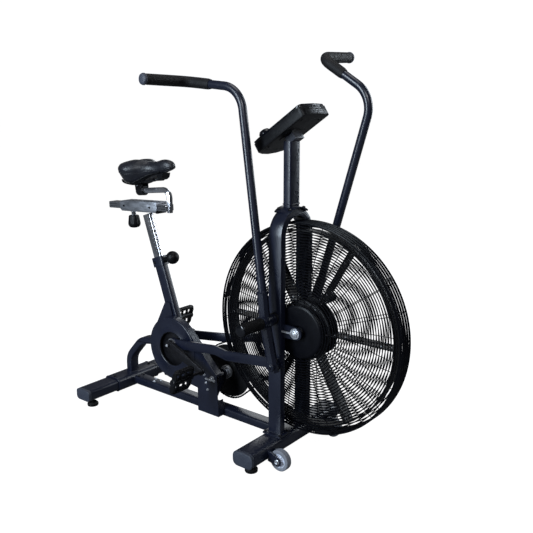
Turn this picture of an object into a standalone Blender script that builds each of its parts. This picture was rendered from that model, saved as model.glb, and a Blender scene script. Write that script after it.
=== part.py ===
"""Air bike: a fan bike with swinging arms, at rest with the right pedal forward.

Metres, +Z up. +X runs from the saddle to the fan, +Y to the rider's left, and z = 0 is the floor.
Side -1 is the rider's right and side 1 the rider's left.
"""

import math

import bmesh
import bpy
from mathutils import Matrix, Vector

X = Vector((1, 0, 0))
Y = Vector((0, 1, 0))
Z = Vector((0, 0, 1))
GAP = 0.0003

# Fan and cage
FAN_X = 0.3005
FAN_Z = 0.444
CAGE_RADIUS = 0.350
RIM_HALF = 0.030
HUB_PLATE_RADIUS = 0.087
RIGHT_PLATE_Y = -0.057
LEFT_PLATE_Y = 0.041
HOOP_RADIUS = 0.322
BLADES = 6
BLADE_START = 60
TIES = 12

# Floor frame
LEG_X = 0.2275
LEG_Y = 0.073
LEG_DEEP = 0.050
LEG_THICK = 0.024
ARCH_Z = 0.745
STABILIZER_HALF = 0.236
STABILIZER_Z = 0.056
STABILIZER_WIDE = 0.080
STABILIZER_HIGH = 0.050
REAR_X = -0.5805
REAR_WIDE = 0.076
REAR_HIGH = 0.044
SLEEVE_HALF = 0.103
BAR_WALL = 0.003
RAIL_WIDE = 0.047
RAIL_HIGH = 0.032
FOOT_Y = 0.205
WHEEL_X = 0.3050
WHEEL_Z = 0.0420
WHEEL_RADIUS = 0.0355
WHEEL_Y = 0.151

# Drive
CRANK_X = -0.2805
CRANK_Z = 0.256
PIN_OFFSET = {-1: (0.0238, 0.0330), 1: (-0.0366, 0.0178)}
PEDAL_OFFSET = (0.182, -0.034)
JACK_X = -0.0900
JACK_Z = 0.186
GUARD_OUTER_Y = -0.055
GUARD_INNER_Y = -0.0245
FIRST_CHAIN_Y = -0.040
SECOND_CHAIN_Y = 0.0495
CHAINRING_RADIUS = 0.082
SMALL_SPROCKET_RADIUS = 0.020
LARGE_SPROCKET_RADIUS = 0.100
FAN_SPROCKET_RADIUS = 0.040
CHAIN_DEEP = 0.007
CHAIN_CLEARANCE = 0.0011

# Arms and link rods
PIVOT_X = 0.226
PIVOT_Z = 0.483
ARM_Y = 0.132
ARM_TOP_Y = 0.112
ARM_LEAN = {-1: 9.2, 1: -17.3}
ARM_RADIUS = 0.0135
ROD_JOINT = (0.0085, -0.1435)
GRIP_START = 0.50
ROD_REAR_Y = 0.0725
ROD_FRONT_Y = 0.106

# Seat
SEAT_LEAN = 19.0
COLLAR_AT = 0.331
POST_FROM = 0.12
POST_TO = 0.516
SLIDE_TILT = 2.4
SLIDE_X = -0.482
SLIDE_Z = 0.7725
KNOB_AT = -0.048
BAR_X = -0.3265
SADDLE_X = -0.419

# Console
CONSOLE_X = 0.2190
CONSOLE_Z = 1.0733
CONSOLE_TILT = 33.7
CONSOLE_LONG = 0.226
CONSOLE_WIDE = 0.136

SIDE_NAME = {-1: "right", 1: "left"}


def collection_of(name):
    made = bpy.data.collections.new(name)
    bpy.context.scene.collection.children.link(made)
    return made


def linked(data):
    obj = bpy.data.objects.new("piece", data)
    AIR_BIKE.objects.link(obj)
    return obj


def placed(origin, u, v):
    """The matrix that puts local X on u, local Y on v and local Z on their cross product."""
    n = u.cross(v)
    columns = Matrix((u, v, n)).transposed().to_4x4()
    return Matrix.Translation(origin) @ columns


def along(axis):
    """Two directions square to the axis, for a shape whose local Z is the axis."""
    u = axis.orthogonal().normalized()
    return u, axis.cross(u).normalized()


def flattened(obj):
    """The object as a plain mesh in world space, with its curve and modifiers made real."""
    bpy.context.view_layer.update()
    graph = bpy.context.evaluated_depsgraph_get()
    mesh = bpy.data.meshes.new_from_object(obj.evaluated_get(graph))
    mesh.transform(obj.matrix_world)
    work = bmesh.new()
    work.from_mesh(mesh)
    bmesh.ops.remove_doubles(work, verts=work.verts, dist=1e-5)
    bmesh.ops.recalc_face_normals(work, faces=work.faces)
    work.to_mesh(mesh)
    work.free()
    bpy.data.objects.remove(obj)
    return linked(mesh)


def rounded(obj, width, segments=2):
    bevel = obj.modifiers.new("Round", "BEVEL")
    bevel.width = width
    bevel.segments = segments
    bevel.limit_method = "ANGLE"
    bevel.angle_limit = math.radians(40)
    return flattened(obj)


def combined(base, operation, others):
    for other in others:
        boolean = base.modifiers.new("Combine", "BOOLEAN")
        boolean.operation = operation
        boolean.solver = "EXACT"
        boolean.object = other
    result = flattened(base)
    for other in others:
        bpy.data.objects.remove(other)
    return result


def joined(base, *others):
    return combined(base, "UNION", others)


def cut(base, *others):
    return combined(base, "DIFFERENCE", others)


def prism(outline, depth, origin, u, v, holes=()):
    """A flat outline in the directions u and v, given depth both ways from the origin."""
    curve = bpy.data.curves.new("piece", "CURVE")
    curve.dimensions = "2D"
    curve.fill_mode = "BOTH"
    curve.extrude = depth / 2
    for loop in (outline, *holes):
        spline = curve.splines.new("POLY")
        spline.points.add(len(loop) - 1)
        for point, (a, b) in zip(spline.points, loop):
            point.co = (a, b, 0, 1)
        spline.use_cyclic_u = True
    obj = linked(curve)
    obj.matrix_world = placed(origin, u, v)
    return flattened(obj)


def plate(outline, y_from, y_to, holes=()):
    """An outline in X and Z, between two values of Y."""
    middle = Vector((0, (y_from + y_to) / 2, 0))
    return prism(outline, abs(y_to - y_from), middle, X, Z, holes)


def box(size, origin, u=X, v=Y):
    work = bmesh.new()
    bmesh.ops.create_cube(work, size=1)
    bmesh.ops.scale(work, vec=size, verts=work.verts)
    mesh = bpy.data.meshes.new("piece")
    work.to_mesh(mesh)
    work.free()
    mesh.transform(placed(Vector(origin), u, v))
    return linked(mesh)


def cylinder(start, end, radius, sides=24, end_radius=None):
    start = Vector(start)
    axis = Vector(end) - start
    u, v = along(axis.normalized())
    work = bmesh.new()
    bmesh.ops.create_cone(
        work,
        cap_ends=True,
        segments=sides,
        radius1=radius,
        radius2=radius if end_radius is None else end_radius,
        depth=axis.length,
    )
    mesh = bpy.data.meshes.new("piece")
    work.to_mesh(mesh)
    work.free()
    mesh.transform(placed(start + axis / 2, u, v))
    return linked(mesh)


def cross_cylinder(x, z, y_from, y_to, radius, sides=24):
    return cylinder((x, y_from, z), (x, y_to, z), radius, sides)


def turned(profile, origin, axis, steps=32, closed=False):
    """A profile of (radius, height) pairs turned round the axis. A closed one makes a ring."""
    edges = [(i, i + 1) for i in range(len(profile) - 1)]
    if closed:
        edges.append((len(profile) - 1, 0))
    mesh = bpy.data.meshes.new("piece")
    mesh.from_pydata([(radius, 0, height) for radius, height in profile], edges, [])
    obj = linked(mesh)
    screw = obj.modifiers.new("Turn", "SCREW")
    screw.steps = steps
    screw.render_steps = steps
    screw.use_merge_vertices = True
    screw.merge_threshold = 1e-5
    u, v = along(axis)
    obj.matrix_world = placed(Vector(origin), u, v)
    return flattened(obj)


def tube(points, radius, resolution=2):
    curve = bpy.data.curves.new("piece", "CURVE")
    curve.dimensions = "3D"
    curve.bevel_depth = radius
    curve.bevel_resolution = resolution
    curve.use_fill_caps = True
    spline = curve.splines.new("POLY")
    spline.points.add(len(points) - 1)
    for point, place in zip(spline.points, points):
        point.co = (*place, 1)
    return flattened(linked(curve))


def bent(points, radii, steps=6):
    """The path through the points, with each inner corner rounded to its radius."""
    path = [Vector(points[0])]
    for before, corner, after, radius in zip(points, points[1:], points[2:], radii):
        corner = Vector(corner)
        back = (Vector(before) - corner).normalized()
        ahead = (Vector(after) - corner).normalized()
        half = back.angle(ahead) / 2
        middle = corner + (back + ahead).normalized() * (radius / math.sin(half))
        first = corner + back * (radius / math.tan(half)) - middle
        last = corner + ahead * (radius / math.tan(half)) - middle
        turn = first.angle(last)
        for step in range(steps + 1):
            share = step / steps
            one = math.sin((1 - share) * turn) / math.sin(turn)
            two = math.sin(share * turn) / math.sin(turn)
            path.append(middle + first * one + last * two)
    path.append(Vector(points[-1]))
    return path


def circle(a, b, radius, sides=32):
    return [
        (
            a + radius * math.cos(2 * math.pi * i / sides),
            b + radius * math.sin(2 * math.pi * i / sides),
        )
        for i in range(sides)
    ]


def arc(a, b, radius, start, end, steps):
    """Points from one angle to another, in degrees."""
    return [
        (
            a + radius * math.cos(math.radians(start + (end - start) * i / steps)),
            b + radius * math.sin(math.radians(start + (end - start) * i / steps)),
        )
        for i in range(steps + 1)
    ]


def rounded_oblong(wide, high, corner, steps=4):
    points = []
    for a, b, start in ((1, 1, 0), (-1, 1, 90), (-1, -1, 180), (1, -1, 270)):
        middle_a = a * (wide / 2 - corner)
        middle_b = b * (high / 2 - corner)
        points += arc(middle_a, middle_b, corner, start, start + 90, steps)
    return points


def belt(first, first_radius, second, second_radius, steps=16):
    """The tight outline round two circles."""
    da = second[0] - first[0]
    db = second[1] - first[1]
    heading = math.degrees(math.atan2(db, da))
    spread = math.degrees(math.acos((first_radius - second_radius) / math.hypot(da, db)))
    return arc(*first, first_radius, heading + spread, heading + 360 - spread, steps) + arc(
        *second, second_radius, heading - spread, heading + spread, steps
    )


def finished(obj, name, look, origin=None):
    """Names the object, sets its origin and gives it its material."""
    obj.name = name
    obj.data.name = name
    if origin is not None:
        obj.data.transform(Matrix.Translation(-Vector(origin)))
        obj.matrix_world = Matrix.Translation(origin)
    colour, metallic, roughness = look
    material = bpy.data.materials.new(name)
    material.use_nodes = True
    shader = material.node_tree.nodes["Principled BSDF"]
    shader.inputs["Base Color"].default_value = (*colour, 1)
    shader.inputs["Metallic"].default_value = metallic
    shader.inputs["Roughness"].default_value = roughness
    obj.data.materials.clear()
    obj.data.materials.append(material)
    obj.data.shade_smooth()
    obj.data.set_sharp_from_angle(angle=math.radians(35))
    return obj


NAVY = ((0.011, 0.013, 0.023), 0.1, 0.42)
BLACK_PAINT = ((0.006, 0.006, 0.008), 0.1, 0.35)
BLACK_PLASTIC = ((0.010, 0.010, 0.011), 0.0, 0.5)
GREY_PLASTIC = ((0.055, 0.062, 0.085), 0.0, 0.5)
FOAM = ((0.012, 0.011, 0.011), 0.0, 0.85)
VINYL = ((0.012, 0.013, 0.018), 0.0, 0.38)
CHROME = ((0.72, 0.72, 0.74), 1.0, 0.12)
SILVER = ((0.50, 0.50, 0.52), 0.9, 0.35)
BLACK_STEEL = ((0.012, 0.012, 0.013), 0.8, 0.4)
WHEEL_GREY = ((0.33, 0.34, 0.37), 0.0, 0.55)
SCREEN = ((0.02, 0.03, 0.03), 0.0, 0.1)

SEAT_UP = Vector((-math.sin(math.radians(SEAT_LEAN)), 0, math.cos(math.radians(SEAT_LEAN))))
SEAT_AHEAD = Vector((SEAT_UP.z, 0, -SEAT_UP.x))
BRACKET = Vector((CRANK_X, 0, CRANK_Z))
SLIDE = Vector((math.cos(math.radians(SLIDE_TILT)), 0, math.sin(math.radians(SLIDE_TILT))))
SLIDE_UP = Vector((-SLIDE.z, 0, SLIDE.x))
SLIDE_MIDDLE = Vector((SLIDE_X, 0, SLIDE_Z))
CONSOLE_MIDDLE = Vector((CONSOLE_X, 0, CONSOLE_Z))
CONSOLE_ALONG = Vector((math.cos(math.radians(CONSOLE_TILT)), 0, math.sin(math.radians(CONSOLE_TILT))))
CONSOLE_OUT = Vector((-CONSOLE_ALONG.z, 0, CONSOLE_ALONG.x))


def arm_place(side, ahead, up, y):
    """A point given in the arm's own directions from its pivot, at this distance from the middle."""
    lean = math.radians(ARM_LEAN[side])
    x = ahead * math.cos(lean) - up * math.sin(lean)
    z = ahead * math.sin(lean) + up * math.cos(lean)
    return Vector((PIVOT_X + x, side * y, PIVOT_Z + z))


def arm_path(side):
    corners = [
        arm_place(side, 0.004, 0.070, ARM_Y),
        arm_place(side, 0.0045, 0.7230, ARM_TOP_Y),
        arm_place(side, -0.2110, 0.7800, ARM_TOP_Y),
        arm_place(side, -0.2220, 0.7855, 0.286),
    ]
    return bent(corners, (0.085, 0.045), 7)


def grip_path(side):
    """The last part of the arm's path, from behind its first bend."""
    path = arm_path(side)
    start = path[8] + (path[9] - path[8]) * GRIP_START
    return [start] + path[9:]


def pin_place(side):
    """The crank's small pin, which carries the link rod."""
    ahead, up = PIN_OFFSET[side]
    return (CRANK_X + ahead, CRANK_Z + up)


def pedal_place(side):
    return (CRANK_X - side * PEDAL_OFFSET[0], CRANK_Z - side * PEDAL_OFFSET[1])


def main_frame():
    sleeve = prism(
        rounded_oblong(REAR_HIGH + 0.008, REAR_WIDE + 0.008, 0.016),
        2 * SLEEVE_HALF,
        Vector((REAR_X, 0, STABILIZER_Z)),
        Z,
        X,
        [rounded_oblong(REAR_HIGH + 2 * GAP, REAR_WIDE + 2 * GAP, 0.014)],
    )
    rail_from = REAR_X + REAR_WIDE / 2 + 0.002
    rail_to = LEG_X - STABILIZER_WIDE / 2 - GAP
    rail = prism(
        rounded_oblong(RAIL_WIDE, RAIL_HIGH, 0.007, 3),
        rail_to - rail_from,
        Vector(((rail_from + rail_to) / 2, 0, STABILIZER_Z)),
        Y,
        Z,
        [rounded_oblong(RAIL_WIDE - 2 * BAR_WALL, RAIL_HIGH - 2 * BAR_WALL, 0.007 - BAR_WALL, 3)],
    )
    shell = cross_cylinder(CRANK_X, CRANK_Z, -0.034, 0.034, 0.024, 32)
    frame = joined(sleeve, rail, rear_loop(), seat_tube(), shell, gusset(), *bearing_posts())
    return cut(frame, cross_cylinder(CRANK_X, CRANK_Z, -0.05, 0.05, 0.010 + GAP, 24))


def rear_loop():
    """The bent tube from the rear sleeve up and forward to the bottom bracket."""
    corners = [
        (-0.5765, 0, 0.0805),
        (-0.5765, 0, 0.150),
        (-0.5000, 0, 0.2330),
        (-0.4200, 0, 0.2480),
        (CRANK_X, 0, CRANK_Z),
    ]
    path = bent(corners, (0.070, 0.080, 0.200), 5)
    half = 0.014
    outer = []
    inner = []
    for i, place in enumerate(path):
        ahead = (path[min(i + 1, len(path) - 1)] - path[max(i - 1, 0)]).normalized()
        outer.append((place.x - ahead.z * half, place.z + ahead.x * half))
        inner.append((place.x + ahead.z * half, place.z - ahead.x * half))
    return rounded(plate(outer + inner[::-1], -0.021, 0.021), 0.006)


def seat_tube():
    """The leaning tube and its collar, open at the top for the seat post."""
    hole = rounded_oblong(0.038 + 2 * GAP, 0.020 + 2 * GAP, 0.003, 2)
    lower = prism(
        rounded_oblong(0.046, 0.027, 0.005, 2),
        COLLAR_AT - 0.010,
        BRACKET + SEAT_UP * (COLLAR_AT + 0.010) / 2,
        SEAT_AHEAD,
        -Y,
        [hole],
    )
    collar = prism(
        rounded_oblong(0.054, 0.035, 0.006, 2),
        0.036,
        BRACKET + SEAT_UP * COLLAR_AT,
        SEAT_AHEAD,
        -Y,
        [rounded_oblong(0.038 + 2 * GAP, 0.020 + 2 * GAP, 0.003, 2)],
    )
    return joined(lower, collar)


def gusset():
    outline = [
        (-0.3495, 0.420),
        (-0.4345, 0.262),
        (-0.4100, 0.215),
        (-0.3050, 0.245),
        (-0.3000, 0.330),
        (-0.3250, 0.420),
    ]
    return plate(outline, -0.0195, -0.0115)


def bearing_posts():
    """Two posts that lean forward from the base rail and carry the jackshaft."""
    outline = [(JACK_X - 0.088, 0.066), (JACK_X - 0.040, 0.066)]
    outline += arc(JACK_X, JACK_Z, 0.016, -25, 150, 10)
    hole = circle(JACK_X, JACK_Z, 0.008 + GAP, 20)
    return [plate(outline, side * 0.0125, side * 0.0195, [hole]) for side in (-1, 1)]


def cross_bar(x, high, wide, corner):
    """A hollow bar across the floor, open at both ends."""
    inside = rounded_oblong(high - 2 * BAR_WALL, wide - 2 * BAR_WALL, corner - BAR_WALL)
    outside = rounded_oblong(high, wide, corner)
    return prism(outside, 2 * STABILIZER_HALF, Vector((x, 0, STABILIZER_Z)), Z, X, [inside])


def rear_stabilizer():
    return cross_bar(REAR_X, REAR_HIGH, REAR_WIDE, 0.0137)


def front_stabilizer():
    bar = cross_bar(LEG_X, STABILIZER_HIGH, STABILIZER_WIDE, 0.018)
    forks = []
    for side in (-1, 1):
        for offset in (-0.0165, 0.0165):
            y = side * WHEEL_Y + offset
            outline = [(LEG_X + 0.0385, 0.042), (LEG_X + 0.0385, 0.064), (LEG_X + 0.054, 0.064)]
            outline += arc(WHEEL_X, WHEEL_Z, 0.013, 60, -100, 8)
            forks.append(plate(outline, y - 0.002, y + 0.002))
        y = side * WHEEL_Y
        forks.append(cross_cylinder(WHEEL_X, WHEEL_Z, y - 0.0205, y + 0.0205, 0.0045, 12))
    return joined(bar, *forks)


def end_cap(x, side, wide, high, corner):
    outline = rounded_oblong(high, wide, corner)
    middle = Vector((x, side * (STABILIZER_HALF + GAP + 0.007), STABILIZER_Z))
    return rounded(prism(outline, 0.014, middle, Z, X), 0.0035, 1)


def foot(x, side, top):
    profile = [(0, 0), (0.0205, 0), (0.0215, 0.003), (0.0215, 0.009), (0.0165, 0.015), (0.007, 0.017)]
    profile += [(0.007, top - GAP), (0, top - GAP)]
    return turned(profile, (x, side * FOOT_Y, 0), Z, 18)


def transport_wheel(side):
    profile = [(0.0048, -0.0115), (0.0125, -0.0115), (0.0150, -0.0085), (0.0250, -0.0085)]
    profile += [(0.0275, -0.0120), (0.0335, -0.0120), (WHEEL_RADIUS, -0.0085)]
    profile += [(r, -h) for r, h in profile[::-1]]
    return turned(profile, (WHEEL_X, side * WHEEL_Y, WHEEL_Z), Y, 26, True)


def front_fork():
    """Both legs and the arch over the fan in one bent tube, with its feet and axle plates."""
    base = STABILIZER_Z + STABILIZER_HIGH / 2 + GAP
    outer = LEG_Y + LEG_THICK / 2
    inner = LEG_Y - LEG_THICK / 2
    outline = [(outer, base)] + arc(0, ARCH_Z, outer, 0, 180, 20) + [(-outer, base)]
    outline += [(-inner, base)] + arc(0, ARCH_Z, inner, 180, 0, 16) + [(inner, base)]
    bow = rounded(prism(outline, LEG_DEEP, Vector((LEG_X, 0, 0)), Y, Z), 0.005)
    extras = []
    for side in (-1, 1):
        extras.append(box((0.072, 0.058, 0.006), (LEG_X, side * LEG_Y, base + 0.003)))
        hanger = [(LEG_X + 0.022, FAN_Z - 0.022), (FAN_X + 0.005, FAN_Z - 0.020)]
        hanger += arc(FAN_X + 0.005, FAN_Z, 0.020, -90, 90, 8)[1:]
        hanger += [(LEG_X + 0.022, FAN_Z + 0.022)]
        hole = circle(FAN_X, FAN_Z, 0.008 + GAP, 20)
        extras.append(plate(hanger, side * 0.070, side * 0.076, [hole]))
    return joined(bow, *extras)


def fan_axle():
    rod = cross_cylinder(FAN_X, FAN_Z, -0.086, 0.086, 0.008, 20)
    nuts = []
    for side in (-1, 1):
        start = side * (0.076 + GAP)
        nuts.append(cross_cylinder(FAN_X, FAN_Z, start, start + side * 0.007, 0.0125, 6))
    return joined(rod, *nuts)


def fan_wheel():
    neck = cross_cylinder(FAN_X, FAN_Z, -0.050, 0.058, 0.0145, 20)
    barrel = cross_cylinder(FAN_X, FAN_Z, -0.027, 0.027, 0.030, 18)
    cheeks = [
        cross_cylinder(FAN_X, FAN_Z, side * 0.0205, side * 0.0255, 0.098, 22) for side in (-1, 1)
    ]
    a, b = 0.0235, 0.0020
    section = [(-a, -b), (a, -b), (a, b), (-a, b)]
    paddles = []
    for i in range(BLADES):
        angle = math.radians(BLADE_START + 360 * i / BLADES)
        out = Vector((math.cos(angle), 0, math.sin(angle)))
        middle = Vector((FAN_X, 0, FAN_Z)) + out * 0.1975
        paddles.append(prism(section, 0.249, middle, Y, out.cross(Y)))
    half = 0.024
    rim = [(HOOP_RADIUS - 0.002, -half), (HOOP_RADIUS + 0.001, -half)]
    rim += [(HOOP_RADIUS + 0.001, half), (HOOP_RADIUS - 0.002, half)]
    hoop = turned(rim, (FAN_X, 0, FAN_Z), Y, 44, True)
    wheel = joined(barrel, neck, *cheeks, *paddles, hoop)
    return cut(wheel, cross_cylinder(FAN_X, FAN_Z, -0.09, 0.09, 0.008 + GAP, 24))


def grille(side, plate_y):
    """A dished guard of rings and spokes. Its hub plate is solid round the axle."""
    rings = (0.020, HUB_PLATE_RADIUS, 0.150, 0.158, 0.215, 0.223, 0.281, 0.289, 0.338, 0.3465)
    open_bands = (1, 3, 5, 7)
    rim_y = side * (RIM_HALF + 0.001)
    slope = (plate_y - rim_y) / (rings[1] - rings[-1])
    spokes = 12
    angles = []
    for i in range(spokes):
        middle = 360 * (i + 0.5) / spokes
        angles += [middle - 1.1, middle + 1.1, middle + 15]
    work = bmesh.new()
    grid = []
    for radius in rings:
        y = plate_y if radius <= rings[1] else rim_y + slope * (radius - rings[-1])
        row = []
        for angle in angles:
            a = math.radians(angle)
            place = (FAN_X + radius * math.cos(a), y, FAN_Z + radius * math.sin(a))
            row.append(work.verts.new(place))
        grid.append(row)
    for band in range(len(rings) - 1):
        for i in range(len(angles)):
            if band in open_bands and i % 3 != 0:
                continue
            j = (i + 1) % len(angles)
            work.faces.new((grid[band][i], grid[band][j], grid[band + 1][j], grid[band + 1][i]))
    bmesh.ops.recalc_face_normals(work, faces=work.faces)
    mesh = bpy.data.meshes.new("piece")
    work.to_mesh(mesh)
    work.free()
    obj = linked(mesh)
    thick = obj.modifiers.new("Thicken", "SOLIDIFY")
    thick.thickness = 0.0018
    thick.offset = 0
    return flattened(obj)


def cage_rim():
    """Three hoops and the ties across them, which both grilles close against."""
    half = RIM_HALF - GAP
    inner = CAGE_RADIUS - 0.0045
    hoops = []
    for low in (-half, -0.002, half - 0.004):
        profile = [(inner, low), (CAGE_RADIUS - 0.0003, low)]
        profile += [(CAGE_RADIUS - 0.0003, low + 0.004), (inner, low + 0.004)]
        hoops.append(turned(profile, (FAN_X, 0, FAN_Z), Y, 48, True))
    for i in range(TIES):
        angle = 2 * math.pi * (i + 0.5) / TIES
        out = Vector((math.cos(angle), 0, math.sin(angle)))
        middle = Vector((FAN_X, 0, FAN_Z)) + out * (CAGE_RADIUS - 0.0031)
        hoops.append(box((0.0020, 2 * half - 0.001, 0.012), middle, out, Y))
    return joined(*hoops)


def sprocket(x, z, y, radius, bore, half, boss=None):
    teeth = cross_cylinder(x, z, y - half, y + half, radius, 40)
    if boss:
        teeth = joined(teeth, cross_cylinder(x, z, y + boss[0], y + boss[1], boss[2], 24))
    return cut(teeth, cross_cylinder(x, z, y - 0.05, y + 0.05, bore, 24))


def chain(first, first_radius, second, second_radius, y):
    outer = CHAIN_CLEARANCE + CHAIN_DEEP
    outline = belt(first, first_radius + outer, second, second_radius + outer)
    inside = belt(first, first_radius + CHAIN_CLEARANCE, second, second_radius + CHAIN_CLEARANCE)
    return plate(outline, y - 0.003, y + 0.003, [inside])


def crankshaft():
    """The axle with a short web at each end, and on each web the pin that carries a link rod."""
    shaft = cross_cylinder(CRANK_X, CRANK_Z, -0.060, 0.060, 0.010, 24)
    parts = []
    for side in (-1, 1):
        pin = pin_place(side)
        web = belt((CRANK_X, CRANK_Z), 0.017, pin, 0.0165, 10)
        parts.append(plate(web, side * 0.0570, side * 0.0640))
        parts.append(cross_cylinder(*pin, side * 0.0620, side * 0.0838, 0.0105, 24))
    return joined(shaft, *parts)


def crank_arm(side):
    pin = pin_place(side)
    end = pedal_place(side)
    bar = rounded(plate(belt(pin, 0.0165, end, 0.0125, 10), side * 0.0841, side * 0.0971), 0.0025)
    bolt = cross_cylinder(*pin, side * 0.0960, side * 0.1030, 0.0075, 12)
    spindle = cross_cylinder(*end, side * 0.0960, side * 0.2300, 0.0060, 16)
    return joined(bar, bolt, spindle)


def pedal(side):
    """An upright cage pedal, open each side of its barrel."""
    x, z = pedal_place(side)
    tilt = math.radians(72)
    u = Vector((math.cos(tilt), 0, math.sin(tilt)))
    middle = Vector((x, side * 0.186, z))
    outline = rounded_oblong(0.088, 0.094, 0.012, 3)
    windows = []
    for a in (-0.0245, 0.0245):
        for b in (-0.0215, 0.0215):
            windows.append([(a + p, b + q) for p, q in rounded_oblong(0.022, 0.032, 0.004, 2)])
    body = prism(outline, 0.024, middle, u, Y, windows)
    return cut(body, cross_cylinder(x, z, side * 0.10, side * 0.26, 0.0060 + GAP, 16))


def link_rod(side):
    """A flat bar that steps outwards past the fan, with an eye at each end."""
    pin = pin_place(side)
    end = arm_place(side, *ROD_JOINT, 0)
    reach = Vector((end.x - pin[0], 0, end.z - pin[1]))
    length = reach.length
    u = reach.normalized()
    middle = [(0, ROD_REAR_Y), (0.213, ROD_REAR_Y), (0.295, ROD_FRONT_Y), (length, ROD_FRONT_Y)]
    half = 0.006
    outline = [(a, side * (b + half)) for a, b in middle]
    outline += [(a, side * (b - half)) for a, b in middle[::-1]]
    bar = prism(outline, 0.034, Vector((pin[0], 0, pin[1])), u, Y)
    bar = rounded(bar, 0.003)
    rear_eye = cross_cylinder(*pin, side * (ROD_REAR_Y - half), side * (ROD_REAR_Y + half), 0.021, 28)
    front_eye = cross_cylinder(
        end.x, end.z, side * (ROD_FRONT_Y - half), side * (ROD_FRONT_Y + half), 0.0175, 24
    )
    bolt = cross_cylinder(end.x, end.z, side * 0.0965, side * 0.1132, 0.0075, 12)
    bar = joined(bar, rear_eye, front_eye, bolt)
    bore = cross_cylinder(*pin, side * 0.05, side * 0.0825, 0.0105 + GAP, 24)
    return cut(bar, bore)


def jackshaft():
    rod = cross_cylinder(JACK_X, JACK_Z, -0.049, 0.058, 0.008, 20)
    collar = cross_cylinder(JACK_X, JACK_Z, 0.0201, 0.030, 0.014, 24)
    return joined(rod, collar)


def guard_outline(inset):
    """The drive guard: a disc round the crank that runs down and forward into a foot."""
    radius = 0.120 - inset
    points = arc(CRANK_X, CRANK_Z + 0.001, radius, 41.6, 290, 32)
    points += [(-0.1535 + inset, 0.135 - inset * 0.4), (-0.1535 + inset, 0.047 + inset)]
    points += [(-0.0505 - inset, 0.047 + inset), (-0.0590 - inset, 0.207 - inset * 0.45)]
    return points


def drive_guard():
    shell = rounded(plate(guard_outline(0), GUARD_OUTER_Y, GUARD_INNER_Y), 0.0015, 1)
    hollow = plate(guard_outline(0.0025), GUARD_OUTER_Y + 0.0025, 0.0)
    opening = cross_cylinder(CRANK_X, CRANK_Z + 0.001, -0.08, -0.040, 0.065, 40)
    open_front = box((0.112, 0.0725, 0.0925), (-0.0440, -0.0160, 0.1538))
    return cut(shell, hollow, opening, open_front)


def pivot_axle(side):
    flange = cross_cylinder(PIVOT_X, PIVOT_Z, side * (0.085 + GAP), side * 0.092, 0.020, 24)
    return joined(flange, cross_cylinder(PIVOT_X, PIVOT_Z, side * 0.090, side * 0.214, 0.010, 20))


def arm_base(side):
    """The socket that swings on the pivot, and below it the lug that faces the link rod."""
    top = arm_place(side, 0.004, 0.095, ARM_Y - 0.0008)
    bottom = arm_place(side, *ROD_JOINT, ARM_Y)
    low = arm_place(side, ROD_JOINT[0] + 0.0015, ROD_JOINT[1] - 0.020, ARM_Y)
    post = tube([top, arm_place(side, 0, 0, ARM_Y), bottom, low], 0.0175)
    hub = cross_cylinder(PIVOT_X, PIVOT_Z, side * 0.1155, side * 0.1535, 0.0215, 28)
    neck = cross_cylinder(PIVOT_X, PIVOT_Z, side * (0.092 + GAP), side * 0.120, 0.0165, 24)
    socket = cylinder(
        arm_place(side, 0.004, 0.060, ARM_Y + 0.0003),
        arm_place(side, 0.004, 0.110, ARM_Y - 0.0012),
        ARM_RADIUS + GAP,
        24,
    )
    bore = cross_cylinder(PIVOT_X, PIVOT_Z, side * 0.08, side * 0.17, 0.010 + GAP, 24)
    return cut(joined(post, hub, neck), socket, bore)


def arm(side):
    return tube(arm_path(side), ARM_RADIUS)


def grip(side):
    inside = arm_path(side)
    core = inside[8:-1] + [inside[-1] * 1.5 - inside[-2] * 0.5]
    return cut(tube(grip_path(side), 0.0172), tube(core, ARM_RADIUS + 3 * GAP))


def grip_cap(side):
    path = arm_path(side)
    way = (path[-1] - path[-2]).normalized()
    start = path[-1] + way * GAP
    profile = [(0, 0), (0.0172, 0), (0.0178, 0.002), (0.0165, 0.008), (0.009, 0.011), (0, 0.0115)]
    return turned(profile, start, way, 24)


def foot_peg(side):
    start = 0.1535 + GAP
    end = 0.2530
    profile = [(0.010 + GAP, start), (0.0185, start), (0.0185, start + 0.004), (0.0172, start + 0.006)]
    profile += [(0.0172, end - 0.006), (0.0180, end), (0.0130, end), (0.0130, 0.225)]
    profile += [(0.010 + GAP, 0.222)]
    return turned(profile, (PIVOT_X, 0, PIVOT_Z), Y * side, 22, True)


def console_mast():
    """The saddle plate on the arch, the post, and the head that holds the console."""
    ring = LEG_Y + LEG_THICK / 2 + GAP
    outline = arc(0, ARCH_Z, ring + 0.005, 57, 123, 10) + arc(0, ARCH_Z, ring, 123, 57, 10)
    foot_plate = prism(outline, 0.062, Vector((LEG_X, 0, 0)), Y, Z)
    post = prism(
        rounded_oblong(0.051, 0.030, 0.005, 3), 0.206, Vector((LEG_X, 0, 0.9355)), Y, -X
    )
    post_top = CONSOLE_MIDDLE + CONSOLE_ALONG * 0.006 - CONSOLE_OUT * 0.0315
    head = box((0.034, 0.046, 0.024), post_top - CONSOLE_ALONG * 0.004, CONSOLE_ALONG, Y)
    return joined(foot_plate, post, head)


def console_outline(long, wide):
    """A rounded slab with a bowed lower end."""
    a = long / 2
    b = wide / 2
    points = [(a - 0.016, b)] + arc(a - 0.014, b - 0.014, 0.014, 80, 10, 4)
    points += [(a + 0.003, 0)] + arc(a - 0.014, -b + 0.014, 0.014, -10, -80, 4)
    points += [(a - 0.016, -b), (-a + 0.030, -b)]
    points += [(-a + 0.012, -b + 0.004), (-a + 0.002, -b * 0.55), (-a - 0.003, 0)]
    points += [(-a + 0.002, b * 0.55), (-a + 0.012, b - 0.004), (-a + 0.030, b)]
    return points[::-1]


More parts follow.
